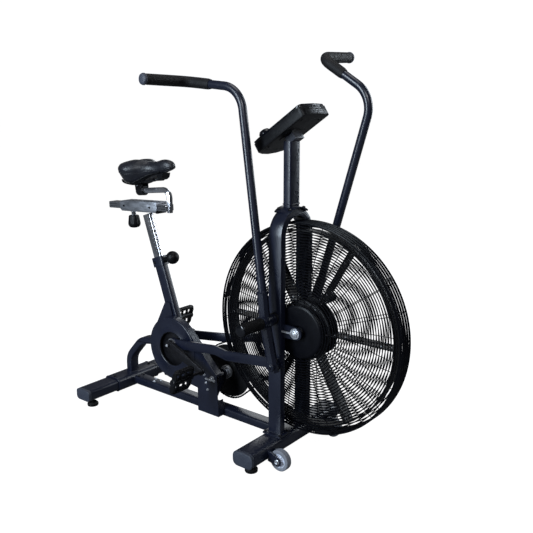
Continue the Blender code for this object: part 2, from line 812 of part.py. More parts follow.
def console_point(a, b, out):
    return CONSOLE_MIDDLE + CONSOLE_ALONG * a + Y * b + CONSOLE_OUT * out


BUTTONS = {"start_button": (-0.062, -0.022), "mode_button": (-0.062, 0.022)}
SCREEN_AT = 0.028
SCREEN_SIZE = (0.112, 0.096)


def console_housing():
    slab = prism(
        console_outline(CONSOLE_LONG, CONSOLE_WIDE), 0.030, console_point(0, 0, -0.004), CONSOLE_ALONG, Y
    )
    return rounded(slab, 0.004)


def console_face():
    """The front panel, open over the display and round each button."""
    window = [
        (a + SCREEN_AT, b) for a, b in rounded_oblong(SCREEN_SIZE[0], SCREEN_SIZE[1], 0.006, 3)
    ]
    holes = [window] + [circle(a, b, 0.009 + GAP, 20) for a, b in BUTTONS.values()]
    outline = console_outline(CONSOLE_LONG - 0.004, CONSOLE_WIDE - 0.004)
    return prism(outline, 0.007, console_point(0, 0, 0.0148), CONSOLE_ALONG, Y, holes)


def display_lens():
    outline = rounded_oblong(SCREEN_SIZE[0] - 2 * GAP, SCREEN_SIZE[1] - 2 * GAP, 0.0057, 3)
    return prism(outline, 0.004, console_point(SCREEN_AT, 0, 0.0135), CONSOLE_ALONG, Y)


def button(place):
    return cylinder(
        console_point(*place, 0.0140), console_point(*place, 0.0205), 0.009, 20, 0.0083
    )


def seat_post():
    return prism(
        rounded_oblong(0.038, 0.020, 0.0027, 2),
        POST_TO - POST_FROM,
        BRACKET + SEAT_UP * (POST_FROM + POST_TO) / 2,
        SEAT_AHEAD,
        -Y,
    )


def slide_point(a, up):
    return SLIDE_MIDDLE + SLIDE * a + SLIDE_UP * up


def slider_housing():
    outline = [(-0.0950, -0.011), (-0.0840, -0.020), (0.0990, -0.020), (0.1115, -0.011)]
    outline += [(0.1115, 0.020), (-0.0840, 0.020), (-0.0950, 0.011)]
    block = prism(outline, 0.054, slide_point(0, 0), SLIDE, SLIDE_UP)
    way = box((0.30, 0.040 + 2 * GAP, 0.025 + 2 * GAP), slide_point(0, 0), SLIDE, Y)
    return cut(block, way)


def seat_slider():
    """The sliding rail and the bent bar that rises from its front end to the saddle."""
    rail = rounded(box((0.324, 0.040, 0.025), slide_point(-0.0065, 0), SLIDE, Y), 0.002, 1)
    corners = [(BAR_X, 0, 0.760), (BAR_X, 0, 0.845), (-0.492, 0, 0.829)]
    bar = tube(bent(corners, (0.028,), 6), 0.0105)
    return joined(rail, bar)


def slider_knob():
    top = slide_point(KNOB_AT, -0.020 - GAP)
    profile = [(0, 0), (0.0085, 0), (0.0085, 0.018), (0.0190, 0.020), (0.0235, 0.026)]
    profile += [(0.0245, 0.050), (0.0200, 0.062), (0.0100, 0.066), (0, 0.0665)]
    return turned(profile, top, -SLIDE_UP, 24)


def pull_knob():
    start = BRACKET + SEAT_UP * COLLAR_AT + SEAT_AHEAD * (0.027 + GAP)
    profile = [(0, 0), (0.0105, 0), (0.0105, 0.020)]
    profile += [(r, 0.0440 - h) for h, r in arc(0, 0, 0.0247, 25, 160, 7)]
    profile.append((0, 0.0440 + 0.0247))
    return turned(profile, start, SEAT_AHEAD, 20)


def saddle_clamp():
    """The block that grips the bar, with ears up to the saddle's shell."""
    middle = Vector((-0.4745, 0, 0.8308))
    block = rounded(box((0.042, 0.040, 0.034), middle), 0.004)
    ears = box((0.050, 0.052, 0.014), middle + Vector((0, 0, 0.0215)))
    lead = Vector((-0.3265 + 0.492, 0, 0.016)).normalized()
    bore = cylinder(middle - lead * 0.05, middle + lead * 0.05, 0.0105 + GAP, 24)
    return cut(joined(block, ears), bore)


def saddle():
    """A wide rear pad that narrows to the nose. The underside is flat."""
    work = bmesh.new()
    bmesh.ops.create_uvsphere(work, u_segments=24, v_segments=18, radius=1)
    for vert in work.verts:
        t = vert.co.z
        ring = math.hypot(vert.co.x, vert.co.y)
        across = vert.co.x / ring if ring > 1e-6 else 0
        up = vert.co.y / ring if ring > 1e-6 else 0
        full = (1 - abs(t) ** 3.2) ** (1 / 3.2) if ring > 1e-6 else 0
        narrow = 1 / (1 + math.exp(7.0 * (t + 0.10)))
        wide = 0.030 + 0.071 * narrow
        crown = 0.012 * narrow * across**2
        high = 0.028 if up > 0 else 0.014 + 0.041 * narrow
        x = SADDLE_X + 0.130 * t
        y = wide * across * full
        z = 0.917 + 0.016 * max(t, 0) ** 2 + high * up * full + crown * full
        vert.co = (x, y, z)
    mesh = bpy.data.meshes.new("piece")
    work.to_mesh(mesh)
    work.free()
    return flattened(linked(mesh))


def build_frame():
    finished(main_frame(), "main_frame", NAVY)
    finished(rear_stabilizer(), "rear_stabilizer", NAVY)
    finished(front_stabilizer(), "front_stabilizer", NAVY)
    for side in (-1, 1):
        name = SIDE_NAME[side]
        finished(
            end_cap(LEG_X, side, STABILIZER_WIDE, STABILIZER_HIGH, 0.018),
            f"front_{name}_end_cap",
            GREY_PLASTIC,
        )
        finished(end_cap(REAR_X, side, REAR_WIDE, REAR_HIGH, 0.0137), f"rear_{name}_end_cap", GREY_PLASTIC)
        front_top = STABILIZER_Z - STABILIZER_HIGH / 2
        rear_top = STABILIZER_Z - REAR_HIGH / 2
        origin = (LEG_X, side * FOOT_Y, 0)
        finished(foot(LEG_X, side, front_top), f"front_{name}_foot", BLACK_PLASTIC, origin)
        origin = (REAR_X, side * FOOT_Y, 0)
        finished(foot(REAR_X, side, rear_top), f"rear_{name}_foot", BLACK_PLASTIC, origin)
        origin = (WHEEL_X, side * WHEEL_Y, WHEEL_Z)
        finished(transport_wheel(side), f"{name}_transport_wheel", WHEEL_GREY, origin)
    finished(front_fork(), "front_fork", NAVY)
    finished(console_mast(), "console_mast", NAVY)


def build_console():
    finished(console_housing(), "console_housing", BLACK_PLASTIC)
    finished(console_face(), "console_face", BLACK_PLASTIC)
    finished(display_lens(), "display_lens", SCREEN)
    for name, place in BUTTONS.items():
        finished(button(place), name, GREY_PLASTIC, console_point(*place, 0.0140))


def build_arms():
    pivot = (PIVOT_X, 0, PIVOT_Z)
    for side in (-1, 1):
        name = SIDE_NAME[side]
        finished(arm_base(side), f"{name}_arm_base", NAVY, pivot)
        finished(arm(side), f"{name}_arm", NAVY, pivot)
        finished(grip(side), f"{name}_grip", FOAM, pivot)
        finished(grip_cap(side), f"{name}_grip_cap", BLACK_PLASTIC, pivot)
        finished(pivot_axle(side), f"{name}_pivot_axle", BLACK_STEEL, pivot)
        finished(foot_peg(side), f"{name}_foot_peg", BLACK_PLASTIC, pivot)
        pin = pin_place(side)
        finished(link_rod(side), f"{name}_link_rod", NAVY, (pin[0], side * ROD_REAR_Y, pin[1]))


def build_drive():
    crank = (CRANK_X, 0, CRANK_Z)
    jack = (JACK_X, 0, JACK_Z)
    hub = (FAN_X, 0, FAN_Z)
    finished(crankshaft(), "crankshaft", BLACK_STEEL, crank)
    for side in (-1, 1):
        name = SIDE_NAME[side]
        finished(crank_arm(side), f"{name}_crank_arm", BLACK_STEEL, crank)
        x, z = pedal_place(side)
        finished(pedal(side), f"{name}_pedal", BLACK_PLASTIC, (x, side * 0.186, z))
    boss = (0.0015, 0.005, 0.020)
    ring = sprocket(CRANK_X, CRANK_Z, FIRST_CHAIN_Y, CHAINRING_RADIUS, 0.010 + GAP, 0.0015, boss)
    finished(ring, "chainring", BLACK_STEEL, crank)
    finished(jackshaft(), "jackshaft", CHROME, jack)
    bore = 0.008 + GAP
    small = sprocket(JACK_X, JACK_Z, FIRST_CHAIN_Y, SMALL_SPROCKET_RADIUS, bore, 0.0025, (0.002, 0.015, 0.013))
    finished(small, "jackshaft_small_sprocket", BLACK_STEEL, jack)
    boss = (-0.019, -0.001, 0.024)
    large = sprocket(JACK_X, JACK_Z, SECOND_CHAIN_Y, LARGE_SPROCKET_RADIUS, bore, 0.0015, boss)
    finished(large, "jackshaft_large_sprocket", BLACK_STEEL, jack)
    bore = 0.0145 + GAP
    driven = sprocket(FAN_X, FAN_Z, SECOND_CHAIN_Y, FAN_SPROCKET_RADIUS, bore, 0.0015)
    finished(driven, "fan_sprocket", BLACK_STEEL, hub)
    first = chain(
        (CRANK_X, CRANK_Z), CHAINRING_RADIUS, (JACK_X, JACK_Z), SMALL_SPROCKET_RADIUS, FIRST_CHAIN_Y
    )
    finished(first, "first_chain", BLACK_STEEL)
    second = chain(
        (JACK_X, JACK_Z), LARGE_SPROCKET_RADIUS, (FAN_X, FAN_Z), FAN_SPROCKET_RADIUS, SECOND_CHAIN_Y
    )
    finished(second, "second_chain", BLACK_STEEL)
    finished(drive_guard(), "drive_guard", NAVY)
    finished(fan_wheel(), "fan_wheel", BLACK_PAINT, hub)
    finished(fan_axle(), "fan_axle", CHROME)
    finished(grille(-1, RIGHT_PLATE_Y), "right_grille", BLACK_PAINT)
    finished(grille(1, LEFT_PLATE_Y), "left_grille", BLACK_PAINT)
    finished(cage_rim(), "cage_rim", BLACK_PAINT)


def build_seat():
    finished(seat_post(), "seat_post", CHROME, BRACKET + SEAT_UP * POST_TO)
    finished(slider_housing(), "slider_housing", SILVER, SLIDE_MIDDLE)
    finished(seat_slider(), "seat_slider", CHROME, SLIDE_MIDDLE)
    finished(slider_knob(), "slider_knob", BLACK_PLASTIC, slide_point(KNOB_AT, -0.020))
    finished(pull_knob(), "pull_knob", BLACK_PLASTIC, BRACKET + SEAT_UP * COLLAR_AT)
    tilt = (-0.4745, 0, 0.8308)
    finished(saddle_clamp(), "saddle_clamp", BLACK_STEEL, tilt)
    finished(saddle(), "saddle", VINYL, tilt)


for old in list(bpy.data.objects):
    bpy.data.objects.remove(old)
AIR_BIKE = collection_of("air_bike")
build_frame()
build_console()
build_arms()
build_drive()
build_seat()
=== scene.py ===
"""The looks of the air bike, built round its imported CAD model, in metres, +X forward and +Z up."""

import random
from math import acos, atan2, copysign, cos, exp, hypot, pi, radians, sin, sqrt, tan

import bmesh
import bpy
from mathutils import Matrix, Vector
from mathutils.bvhtree import BVHTree


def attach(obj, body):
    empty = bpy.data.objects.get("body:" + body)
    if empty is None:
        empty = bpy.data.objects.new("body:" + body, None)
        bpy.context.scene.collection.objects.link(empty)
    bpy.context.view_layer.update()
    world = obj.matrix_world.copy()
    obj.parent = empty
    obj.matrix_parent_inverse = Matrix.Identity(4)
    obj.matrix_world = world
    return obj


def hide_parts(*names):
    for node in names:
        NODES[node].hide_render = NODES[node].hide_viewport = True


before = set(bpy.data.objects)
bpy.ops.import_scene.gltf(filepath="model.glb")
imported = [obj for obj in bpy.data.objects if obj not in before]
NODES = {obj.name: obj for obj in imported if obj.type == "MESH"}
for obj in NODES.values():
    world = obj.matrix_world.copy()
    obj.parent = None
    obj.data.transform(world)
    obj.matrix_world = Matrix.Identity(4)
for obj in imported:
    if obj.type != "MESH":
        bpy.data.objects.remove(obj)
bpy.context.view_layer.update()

X = Vector((1, 0, 0))
Y = Vector((0, 1, 0))
Z = Vector((0, 0, 1))
SIDES = {-1: "right", 1: "left"}


def spoke(angle):
    """A direction in the plane of the fan and the cranks, from +X towards +Z."""
    return Vector((cos(angle), 0, sin(angle)))


# Places repeated from the CAD model
FAN = Vector((0.3005, 0, 0.444))
CRANK = Vector((-0.2805, 0, 0.256))
JACK = Vector((-0.09, 0, 0.186))
PIVOT = Vector((0.226, 0, 0.483))
BLADES = 6
BLADE_START = 60
RIM_RADIUS = 0.3466
PLATE_RADIUS = 0.087
GUARD_PLATE_Y = {-1: 0.057, 1: 0.041}
LEG_X = 0.2275
LEG_Y = 0.073
ARCH_Z = 0.745
REAR_X = -0.5805
BAR_Z = 0.056
PIN_OFFSET = {-1: (0.0238, 0.033), 1: (-0.0366, 0.0178)}
PEDAL_OFFSET = (0.182, -0.034)
WHEEL = (0.305, 0.151, 0.042)
ARM_Y = 0.132
ARM_TOP_Y = 0.112
ARM_LEAN = {-1: 9.2, 1: -17.3}
ARM_RADIUS = 0.0135
GRIP_START = 0.5
LUG = (0.0085, -0.1435)
CHAIN_OFFSET = 0.0046
CHAIN_PITCH = 0.0127
PEDAL_TILT = radians(72)
SEAT_LEAN = radians(19)
SEAT_AHEAD = spoke(SEAT_LEAN)
SEAT_UP = SEAT_AHEAD.cross(Y)
COLLAR_AT = 0.331
SLIDE_TILT = radians(2.4)
SLIDE = spoke(SLIDE_TILT)
SLIDE_UP = SLIDE.cross(Y)
SLIDE_MIDDLE = Vector((-0.482, 0, 0.7725))
KNOB_AT = -0.048
CONSOLE_MIDDLE = Vector((0.219, 0, 1.0733))
CONSOLE_TILT = radians(33.7)
CONSOLE_ALONG = spoke(CONSOLE_TILT)
CONSOLE_OUT = CONSOLE_ALONG.cross(Y)
CLAMP = Vector((-0.4745, 0, 0.8308))
SADDLE_X = -0.419

# Counts and sizes of the drawn detail
GUARD_RINGS = 29
GUARD_IN, GUARD_OUT = 0.0945, 0.344
RING_WIRE = 0.0019
SPOKES = 24
SPOKE_SHIFT = 0.25
SPOKE_WIRE = 0.0013
RIM_WIRE = 0.0032
RIM_CLIPS = 8
ARM_BEND_STEPS = 28
PEG_RIBS = 22
BEAD_STEP = 0.0022
POST_HOLES = 9
KNOB_FLUTES = 6
STITCHES = 150
PAN_ROWS, PAN_COLUMNS = 23, 13
HEX = 1.732  # a hexagon's width across flats over its corner radius


# Materials


def fill(node, values):
    """Sets a node's inputs by their names."""
    for name, value in values.items():
        node.inputs[name].default_value = value


def join(source, output, target, socket):
    """Links a node's output to another node's input."""
    target.id_data.links.new(source.outputs[output], target.inputs[socket])


def finish_of(
    name,
    colour,
    roughness,
    metallic,
    mottle,
    mottle_scale,
    grain=0.0,
    grain_scale=900.0,
    cells=False,
    coat=0.0,
    sheen=0.0,
    spread=0.08,
    stretch=(1, 1, 1),
    specular=0.5,
):
    """A procedural material: its colour and roughness drift together, under a fine surface grain."""
    material = bpy.data.materials.new(name)
    material.use_nodes = True
    nodes = material.node_tree.nodes
    shader = nodes["Principled BSDF"]
    coords = nodes.new("ShaderNodeTexCoord")
    mapping = nodes.new("ShaderNodeMapping")
    fill(mapping, {"Scale": stretch})
    join(coords, "Object", mapping, "Vector")
    drift = nodes.new("ShaderNodeTexNoise")
    fill(drift, {"Scale": mottle_scale, "Detail": 5})
    join(mapping, "Vector", drift, "Vector")
    ramp = nodes.new("ShaderNodeValToRGB")
    low, high = ramp.color_ramp.elements
    low.position, high.position = 0.3, 0.7
    low.color = (*[c * (1 - mottle) for c in colour], 1)
    high.color = (*[min(c * (1 + mottle), 1) for c in colour], 1)
    join(drift, "Fac", ramp, "Fac")
    join(ramp, "Color", shader, "Base Color")
    rough = nodes.new("ShaderNodeMapRange")
    fill(rough, {"From Min": 0.3, "From Max": 0.7})
    fill(rough, {"To Min": max(roughness - spread / 2, 0.02), "To Max": roughness + spread / 2})
    join(drift, "Fac", rough, "Value")
    join(rough, "Result", shader, "Roughness")
    fill(shader, {"Metallic": metallic, "Specular IOR Level": specular})
    fill(shader, {"Coat Weight": coat, "Coat Roughness": 0.12, "Sheen Weight": sheen, "Sheen Roughness": 0.4})
    if grain:
        fine = nodes.new("ShaderNodeTexVoronoi" if cells else "ShaderNodeTexNoise")
        fill(fine, {"Scale": grain_scale})
        join(mapping, "Vector", fine, "Vector")
        bump = nodes.new("ShaderNodeBump")
        fill(bump, {"Strength": grain, "Distance": 0.0005})
        join(fine, "Distance" if cells else "Fac", bump, "Height")
        join(bump, "Normal", shader, "Normal")
    return material


NAVY = finish_of("navy_powder_coat", (0.006, 0.008, 0.0185), 0.3, 0, 0.16, 18, 0.1, 1400, specular=0.5)
WIRE = finish_of("black_wire_enamel", (0.0018, 0.002, 0.0036), 0.34, 0, 0.2, 30, 0.1, 900, specular=0.13)
FAN_BLACK = finish_of("fan_black", (0.002, 0.002, 0.0028), 0.45, 0, 0.25, 20, 0.2, 900, specular=0.3)
PLASTIC = finish_of(
    "black_plastic", (0.0016, 0.0018, 0.0028), 0.4, 0, 0.15, 30, 0.16, 1600, cells=True, specular=0.2
)
GLOSS = finish_of(
    "glossy_black_plastic", (0.0018, 0.0022, 0.004), 0.16, 0, 0.12, 30, 0.05, 900, coat=0.1, specular=0.35
)
CAP = finish_of("slate_cap_plastic", (0.03, 0.035, 0.052), 0.45, 0, 0.1, 40, 0.5, 1500, cells=True)
GREY_TRIM = finish_of(
    "grey_trim_plastic", (0.028, 0.031, 0.04), 0.38, 0, 0.12, 40, 0.1, 1500, stretch=(1, 6, 1)
)
FOAM = finish_of(
    "grip_foam", (0.0048, 0.0045, 0.0055), 0.6, 0, 0.3, 160, 0.4, 1500, cells=True, sheen=0.02, specular=0.25
)
VINYL = finish_of(
    "saddle_vinyl", (0.007, 0.0078, 0.0125), 0.36, 0, 0.22, 35, 0.45, 900, cells=True, sheen=0.03
)
THREAD = finish_of("saddle_thread", (0.02, 0.021, 0.026), 0.7, 0, 0.2, 300, 0.5, 2500)
RUBBER = finish_of(
    "black_rubber", (0.003, 0.003, 0.0036), 0.58, 0, 0.25, 60, 0.3, 1200, cells=True, specular=0.2
)
CHROME = finish_of("chrome", (0.5, 0.51, 0.55), 0.11, 0.9, 0.05, 20, 0.05, 900, spread=0.05)
BRUSHED = finish_of(
    "brushed_silver", (0.3, 0.31, 0.34), 0.42, 0.85, 0.3, 90, 0.35, 700, spread=0.14, stretch=(0.3, 1, 1)
)
ZINC = finish_of("zinc_hardware", (0.62, 0.64, 0.68), 0.3, 0.75, 0.18, 90, 0.2, 900)
OXIDE = finish_of("black_oxide_steel", (0.012, 0.012, 0.015), 0.34, 0.6, 0.25, 60, 0.25, 900)
TYRE = finish_of("grey_wheel_rubber", (0.185, 0.195, 0.225), 0.55, 0, 0.1, 70, 0.4, 900)
HUB = finish_of("pale_wheel_hub", (0.56, 0.6, 0.7), 0.4, 0, 0.06, 60, 0.2, 900)
# Near black: painted shade inside the seat post's holes, and the print of the display's digits.
SHADE_AND_PRINT_BLACK = finish_of("hole_shade_and_digit_print", (0.002, 0.002, 0.002), 0.85, 0, 0.2, 60, specular=0.1)
SCREEN = finish_of("screen_glass", (0.012, 0.015, 0.016), 0.08, 0, 0.1, 20, coat=0.6)
LCD = finish_of("lcd_field", (0.2, 0.24, 0.2), 0.22, 0, 0.05, 60, coat=0.4)
MARK = finish_of("pale_marking", (0.42, 0.42, 0.44), 0.5, 0, 0.1, 90)


# Mesh helpers


def around(count, u=X, v=Z, shift=0):
    """Directions spread evenly round a turn from u towards v. shift is a share of the step between them."""
    angles = [2 * pi * (k + shift) / count for k in range(count)]
    return [u * cos(a) + v * sin(a) for a in angles]


def band(inner, outer, low, high):
    """The profile of a plain ring, or of a disc where inner is 0."""
    return [(inner, low), (outer, low), (outer, high), (inner, high)]


def mirrored(profile):
    """A profile followed by its reflection in height 0."""
    return profile + [(radius, -height) for radius, height in profile[::-1]]


def turned_half(outline):
    """An outline followed by itself after half a turn."""
    return outline + [(-a, -b) for a, b in outline]


def placed(name, data):
    """A new object in the scene that holds the data."""
    obj = bpy.data.objects.new(name, data)
    bpy.context.scene.collection.objects.link(obj)
    return obj


def round_edges(obj, width, angle):
    bevel = obj.modifiers.new("round", "BEVEL")
    bevel.width = width
    bevel.segments = 2
    bevel.limit_method = "ANGLE"
    bevel.angle_limit = radians(angle)
    return bevel


def wrapped(count, sides, closed):
    """The faces that join rings of points, each ring to the next."""
    faces = []
    for i in range(count if closed else count - 1):
        j = (i + 1) % count
        for k in range(sides):
            m = (k + 1) % sides
            faces.append([i * sides + k, i * sides + m, j * sides + m, j * sides + k])
    return faces


def square_to(axis):
    u = axis.orthogonal().normalized()
    return u, axis.cross(u).normalized()


class Shape:
    """Points and faces gathered from simple solids, which become one mesh."""

    def __init__(self):
        self.points = []
        self.faces = []

    def add(self, points, faces):
        start = len(self.points)
        self.points += [Vector(p) for p in points]
        self.faces += [[start + i for i in face] for face in faces]
        return self

    def tube(self, path, radius, sides=8, closed=False):
        """A round tube along the path. radius is one number, or one for each point."""
        count = len(path)
        radii = radius if isinstance(radius, list) else [radius] * count
        points = []
        side = None
        for i in range(count):
            before = path[(i - 1) % count] if closed or i > 0 else path[i]
            after = path[(i + 1) % count] if closed or i < count - 1 else path[i]
            ahead = (after - before).normalized()
            side = ahead.orthogonal() if side is None else side - ahead * side.dot(ahead)
            side.normalize()
            other = ahead.cross(side)
            points += [path[i] + out * radii[i] for out in around(sides, side, other)]
        faces = wrapped(count, sides, closed)
        if not closed:
            faces.append(list(range(sides))[::-1])
            faces.append([(count - 1) * sides + k for k in range(sides)])
        return self.add(points, faces)

    def hoop(self, centre, radius, wire, segments, sides):
        """A round wire bent into a circle about an axis along Y."""
        points = []
        for out in around(segments, *square_to(Y)):
            for k in range(sides):
                b = 2 * pi * k / sides
                points.append(centre + out * (radius + wire * cos(b)) + Y * wire * sin(b))
        return self.add(points, wrapped(segments, sides, True))

    def turned(self, profile, origin, axis, steps=32, closed=False):
        """A profile of (radius, height) pairs turned round the axis. A point at radius 0 closes it."""
        u, v = square_to(axis)
        origin = Vector(origin)
        points = []
        rows = []
        for radius, height in profile:
            middle = origin + axis * height
            if radius < 1e-7:
                rows.append([len(points)])
                points.append(middle)
                continue
            rows.append(list(range(len(points), len(points) + steps)))
            points += [middle + out * radius for out in around(steps, u, v)]
        faces = []
        pairs = list(zip(rows, rows[1:]))
        if closed:
            pairs.append((rows[-1], rows[0]))
        for low, high in pairs:
            for k in range(steps):
                m = (k + 1) % steps
                if len(low) == 1 and len(high) == 1:
                    continue
                if len(low) == 1:
                    faces.append([low[0], high[m], high[k]])
                elif len(high) == 1:
                    faces.append([low[k], low[m], high[0]])
                else:
                    faces.append([low[k], low[m], high[m], high[k]])
        return self.add(points, faces)

    def prism(self, outline, depth, origin, u, v):
        """A flat outline in the directions u and v, given depth both ways from the origin."""
        n = u.cross(v)
        origin = Vector(origin)
        count = len(outline)
        low = [origin + u * a + v * b - n * depth / 2 for a, b in outline]
        high = [p + n * depth for p in low]
        faces = [list(range(count))[::-1], list(range(count, 2 * count))]
        for i in range(count):
            j = (i + 1) % count
            faces.append([i, j, count + j, count + i])
        return self.add(low + high, faces)

    def box(self, size, origin, u=X, v=Y):
        a, b = size[0] / 2, size[1] / 2
        return self.prism([(-a, -b), (a, -b), (a, b), (-a, b)], size[2], origin, u, v)

    def bolt(self, origin, axis, across, tall, washer=True, socket=False):
        """A hexagon head, or a round socket head, on a thin washer."""
        base = 0.0
        if washer:
            wide = across * 0.68
            disc = [(0, 0), (wide, 0), (wide, 0.0008), (across * 0.62, 0.0012), (0, 0.0012)]
            self.turned(disc, origin, axis, 20)
            base = 0.001
        if socket:
            r = across / 2
            profile = [(0, base), (r, base), (r, tall * 0.85), (r * 0.88, tall), (r * 0.55, tall)]
            return self.turned(profile + [(r * 0.5, tall * 0.55), (0, tall * 0.55)], origin, axis, 20)
        r = across / HEX
        profile = [(0, base), (r, base), (r, tall * 0.82), (r * 0.82, tall), (0, tall)]
        return self.turned(profile, origin, axis, 6)

    def made(self, name, body, material, replaces=(), angle=38, bevel=0.0):
        """Makes the piece, which rides on the body and may stand in for CAD nodes."""
        mesh = bpy.data.meshes.new(name)
        mesh.from_pydata(self.points, [], self.faces)
        work = bmesh.new()
        work.from_mesh(mesh)
        bmesh.ops.recalc_face_normals(work, faces=work.faces)
        work.to_mesh(mesh)
        work.free()
        obj = placed(name, mesh)
        mesh.materials.append(material)
        mesh.shade_smooth()
        mesh.set_sharp_from_angle(angle=radians(angle))
        if bevel:
            round_edges(obj, bevel, angle).harden_normals = True
        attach(obj, body)
        if replaces:
            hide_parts(*replaces)
        return obj


def dress(material, bevel, names, angle=36):
    """CAD nodes keep their shape and get their material, soft edges and smooth round faces."""
    for name in names.split():
        obj = NODES[name]
        obj.data.materials.clear()
        obj.data.materials.append(material)
        obj.data.shade_smooth()
        weld = obj.modifiers.new("weld", "WELD")
        weld.merge_threshold = 0.00002
        if bevel:
            round_edges(obj, bevel, angle)
        split = obj.modifiers.new("split", "EDGE_SPLIT")
        split.split_angle = radians(angle)


def bent(points, radii, steps):
    """A path through the points whose corners are rounded to the radii."""
    path = [Vector(points[0])]
    for before, corner, after, radius in zip(points, points[1:], points[2:], radii):
        corner = Vector(corner)
        back = (Vector(before) - corner).normalized()
        ahead = (Vector(after) - corner).normalized()
        half = back.angle(ahead) / 2
        middle = corner + (back + ahead).normalized() * (radius / sin(half))
        first = corner + back * (radius / tan(half)) - middle
        last = corner + ahead * (radius / tan(half)) - middle
        turn = first.angle(last)
        for step in range(steps + 1):
            share = step / steps
            one = sin((1 - share) * turn) / sin(turn)
            two = sin(share * turn) / sin(turn)
            path.append(middle + first * one + last * two)
    path.append(Vector(points[-1]))
    return path


def arc(a, b, radius, start, end, steps):
    """Points on a circle about (a, b), between two angles in degrees."""
    angles = [radians(start + (end - start) * i / steps) for i in range(steps + 1)]
    return [(a + radius * cos(t), b + radius * sin(t)) for t in angles]


def oblong(wide, high, corner):
    """A rectangle with round corners."""
    points = []
    for a, b, start in ((1, 1, 0), (-1, 1, 90), (-1, -1, 180), (1, -1, 270)):
        points += arc(a * (wide / 2 - corner), b * (high / 2 - corner), corner, start, start + 90, 6)
    return points


def arm_place(side, ahead, up, y):
    """A place on an arm, measured from its pivot along and across the leaning tube."""
    lean = radians(ARM_LEAN[side])
    x = ahead * cos(lean) - up * sin(lean)
    z = ahead * sin(lean) + up * cos(lean)
    return Vector((PIVOT.x + x, side * y, PIVOT.z + z))


def arm_corners(side):
    return [
        arm_place(side, 0.004, 0.07, ARM_Y),
        arm_place(side, 0.0045, 0.723, ARM_TOP_Y),
        arm_place(side, -0.211, 0.78, ARM_TOP_Y),
        arm_place(side, -0.222, 0.7855, 0.286),
    ]


# Camera, floor and light

CAMERA_PLACE = (1.5168, -1.7474, 1.1457)
CAMERA_TURN = (radians(90 - 13.174), 0, radians(38.499))
CAMERA_LENS = 46.55
FLOOR_GLOW = 0.985  # the floor's and the world's strengths where the camera sees them
WORLD_SEEN = 1.05
WORLD_LIGHT = 0.1  # the world's strength as a light


def add_camera():
    data = bpy.data.cameras.new("camera")
    data.lens = CAMERA_LENS
    data.sensor_width = 36
    camera = placed("camera", data)
    camera.location = CAMERA_PLACE
    camera.rotation_euler = CAMERA_TURN
    bpy.context.scene.camera = camera


def area_light(name, place, target, size, power, colour=(1, 1, 1)):
    data = bpy.data.lights.new(name, "AREA")
    data.shape = "RECTANGLE"
    data.size, data.size_y = size
    data.energy = power
    data.color = colour
    light = placed(name, data)
    light.location = place
    light.rotation_euler = (Vector(target) - Vector(place)).to_track_quat("-Z", "Y").to_euler()


def pale_to_camera(tree, shader, strength):
    """Adds a white glow that only the camera sees: the studio is white and the object isn't washed out."""
    nodes = tree.nodes
    rays = nodes.new("ShaderNodeLightPath")
    glow = nodes.new("ShaderNodeMath")
    glow.operation = "MULTIPLY"
    glow.inputs[1].default_value = strength
    join(rays, "Is Camera Ray", glow, 0)
    join(glow, "Value", shader, "Emission Strength")
    shader.inputs["Emission Color"].default_value = (1, 1, 1, 1)


def add_stage():
    mesh = bpy.data.meshes.new("floor")
    half = 60
    corners = [(-half, -half, 0), (half, -half, 0), (half, half, 0), (-half, half, 0)]
    mesh.from_pydata(corners, [], [(0, 1, 2, 3)])
    floor = placed("floor", mesh)
    paint = finish_of("floor_paint", (0.17, 0.17, 0.173), 0.85, 0, 0.01, 0.5, specular=0.1)
    pale_to_camera(paint.node_tree, paint.node_tree.nodes["Principled BSDF"], FLOOR_GLOW)
    mesh.materials.append(paint)
    world = bpy.data.worlds.new("world")
    world.use_nodes = True
    tree = world.node_tree
    background = tree.nodes["Background"]
    fill(background, {"Color": (0.97, 0.98, 1, 1)})
    rays = tree.nodes.new("ShaderNodeLightPath")
    level = tree.nodes.new("ShaderNodeMapRange")
    fill(level, {"To Min": WORLD_LIGHT, "To Max": WORLD_SEEN})
    join(rays, "Is Camera Ray", level, "Value")
    join(level, "Result", background, "Strength")
    bpy.context.scene.world = world
    area_light("left_strip", (-0.7, -3.3, 1.7), (0, 0, 0.7), (0.8, 2.6), 150, (0.76, 0.88, 1.0))
    area_light("right_strip", (1.0, 3.2, 1.7), (0.1, 0, 0.7), (0.4, 2.8), 45, (0.8, 0.9, 1.0))
    area_light("right_fill", (2.1, 2.6, 1.8), (0, 0, 0.8), (0.9, 0.7), 15, (0.92, 0.96, 1.0))
    area_light("key", (2.9, -2.6, 3.2), (0, 0, 0.6), (1.0, 0.8), 60, (0.94, 0.97, 1.0))
    area_light("back", (-2.0, 2.8, 1.7), (0, 0, 0.6), (1.8, 1.4), 16, (0.92, 0.96, 1.0))
    area_light("top", (0.0, 0.3, 3.8), (0, 0, 0), (1.4, 1.4), 22)
    bpy.context.scene.view_settings.view_transform = "Standard"


# Fan, guards and rim


def guard_y(side, radius):
    """How far from the middle plane a guard's wire lies, on a cone from its plate to the rim."""
    plate = GUARD_PLATE_Y[side]
    return side * (plate + (0.031 - plate) * max(radius - PLATE_RADIUS, 0) / (0.3465 - PLATE_RADIUS))


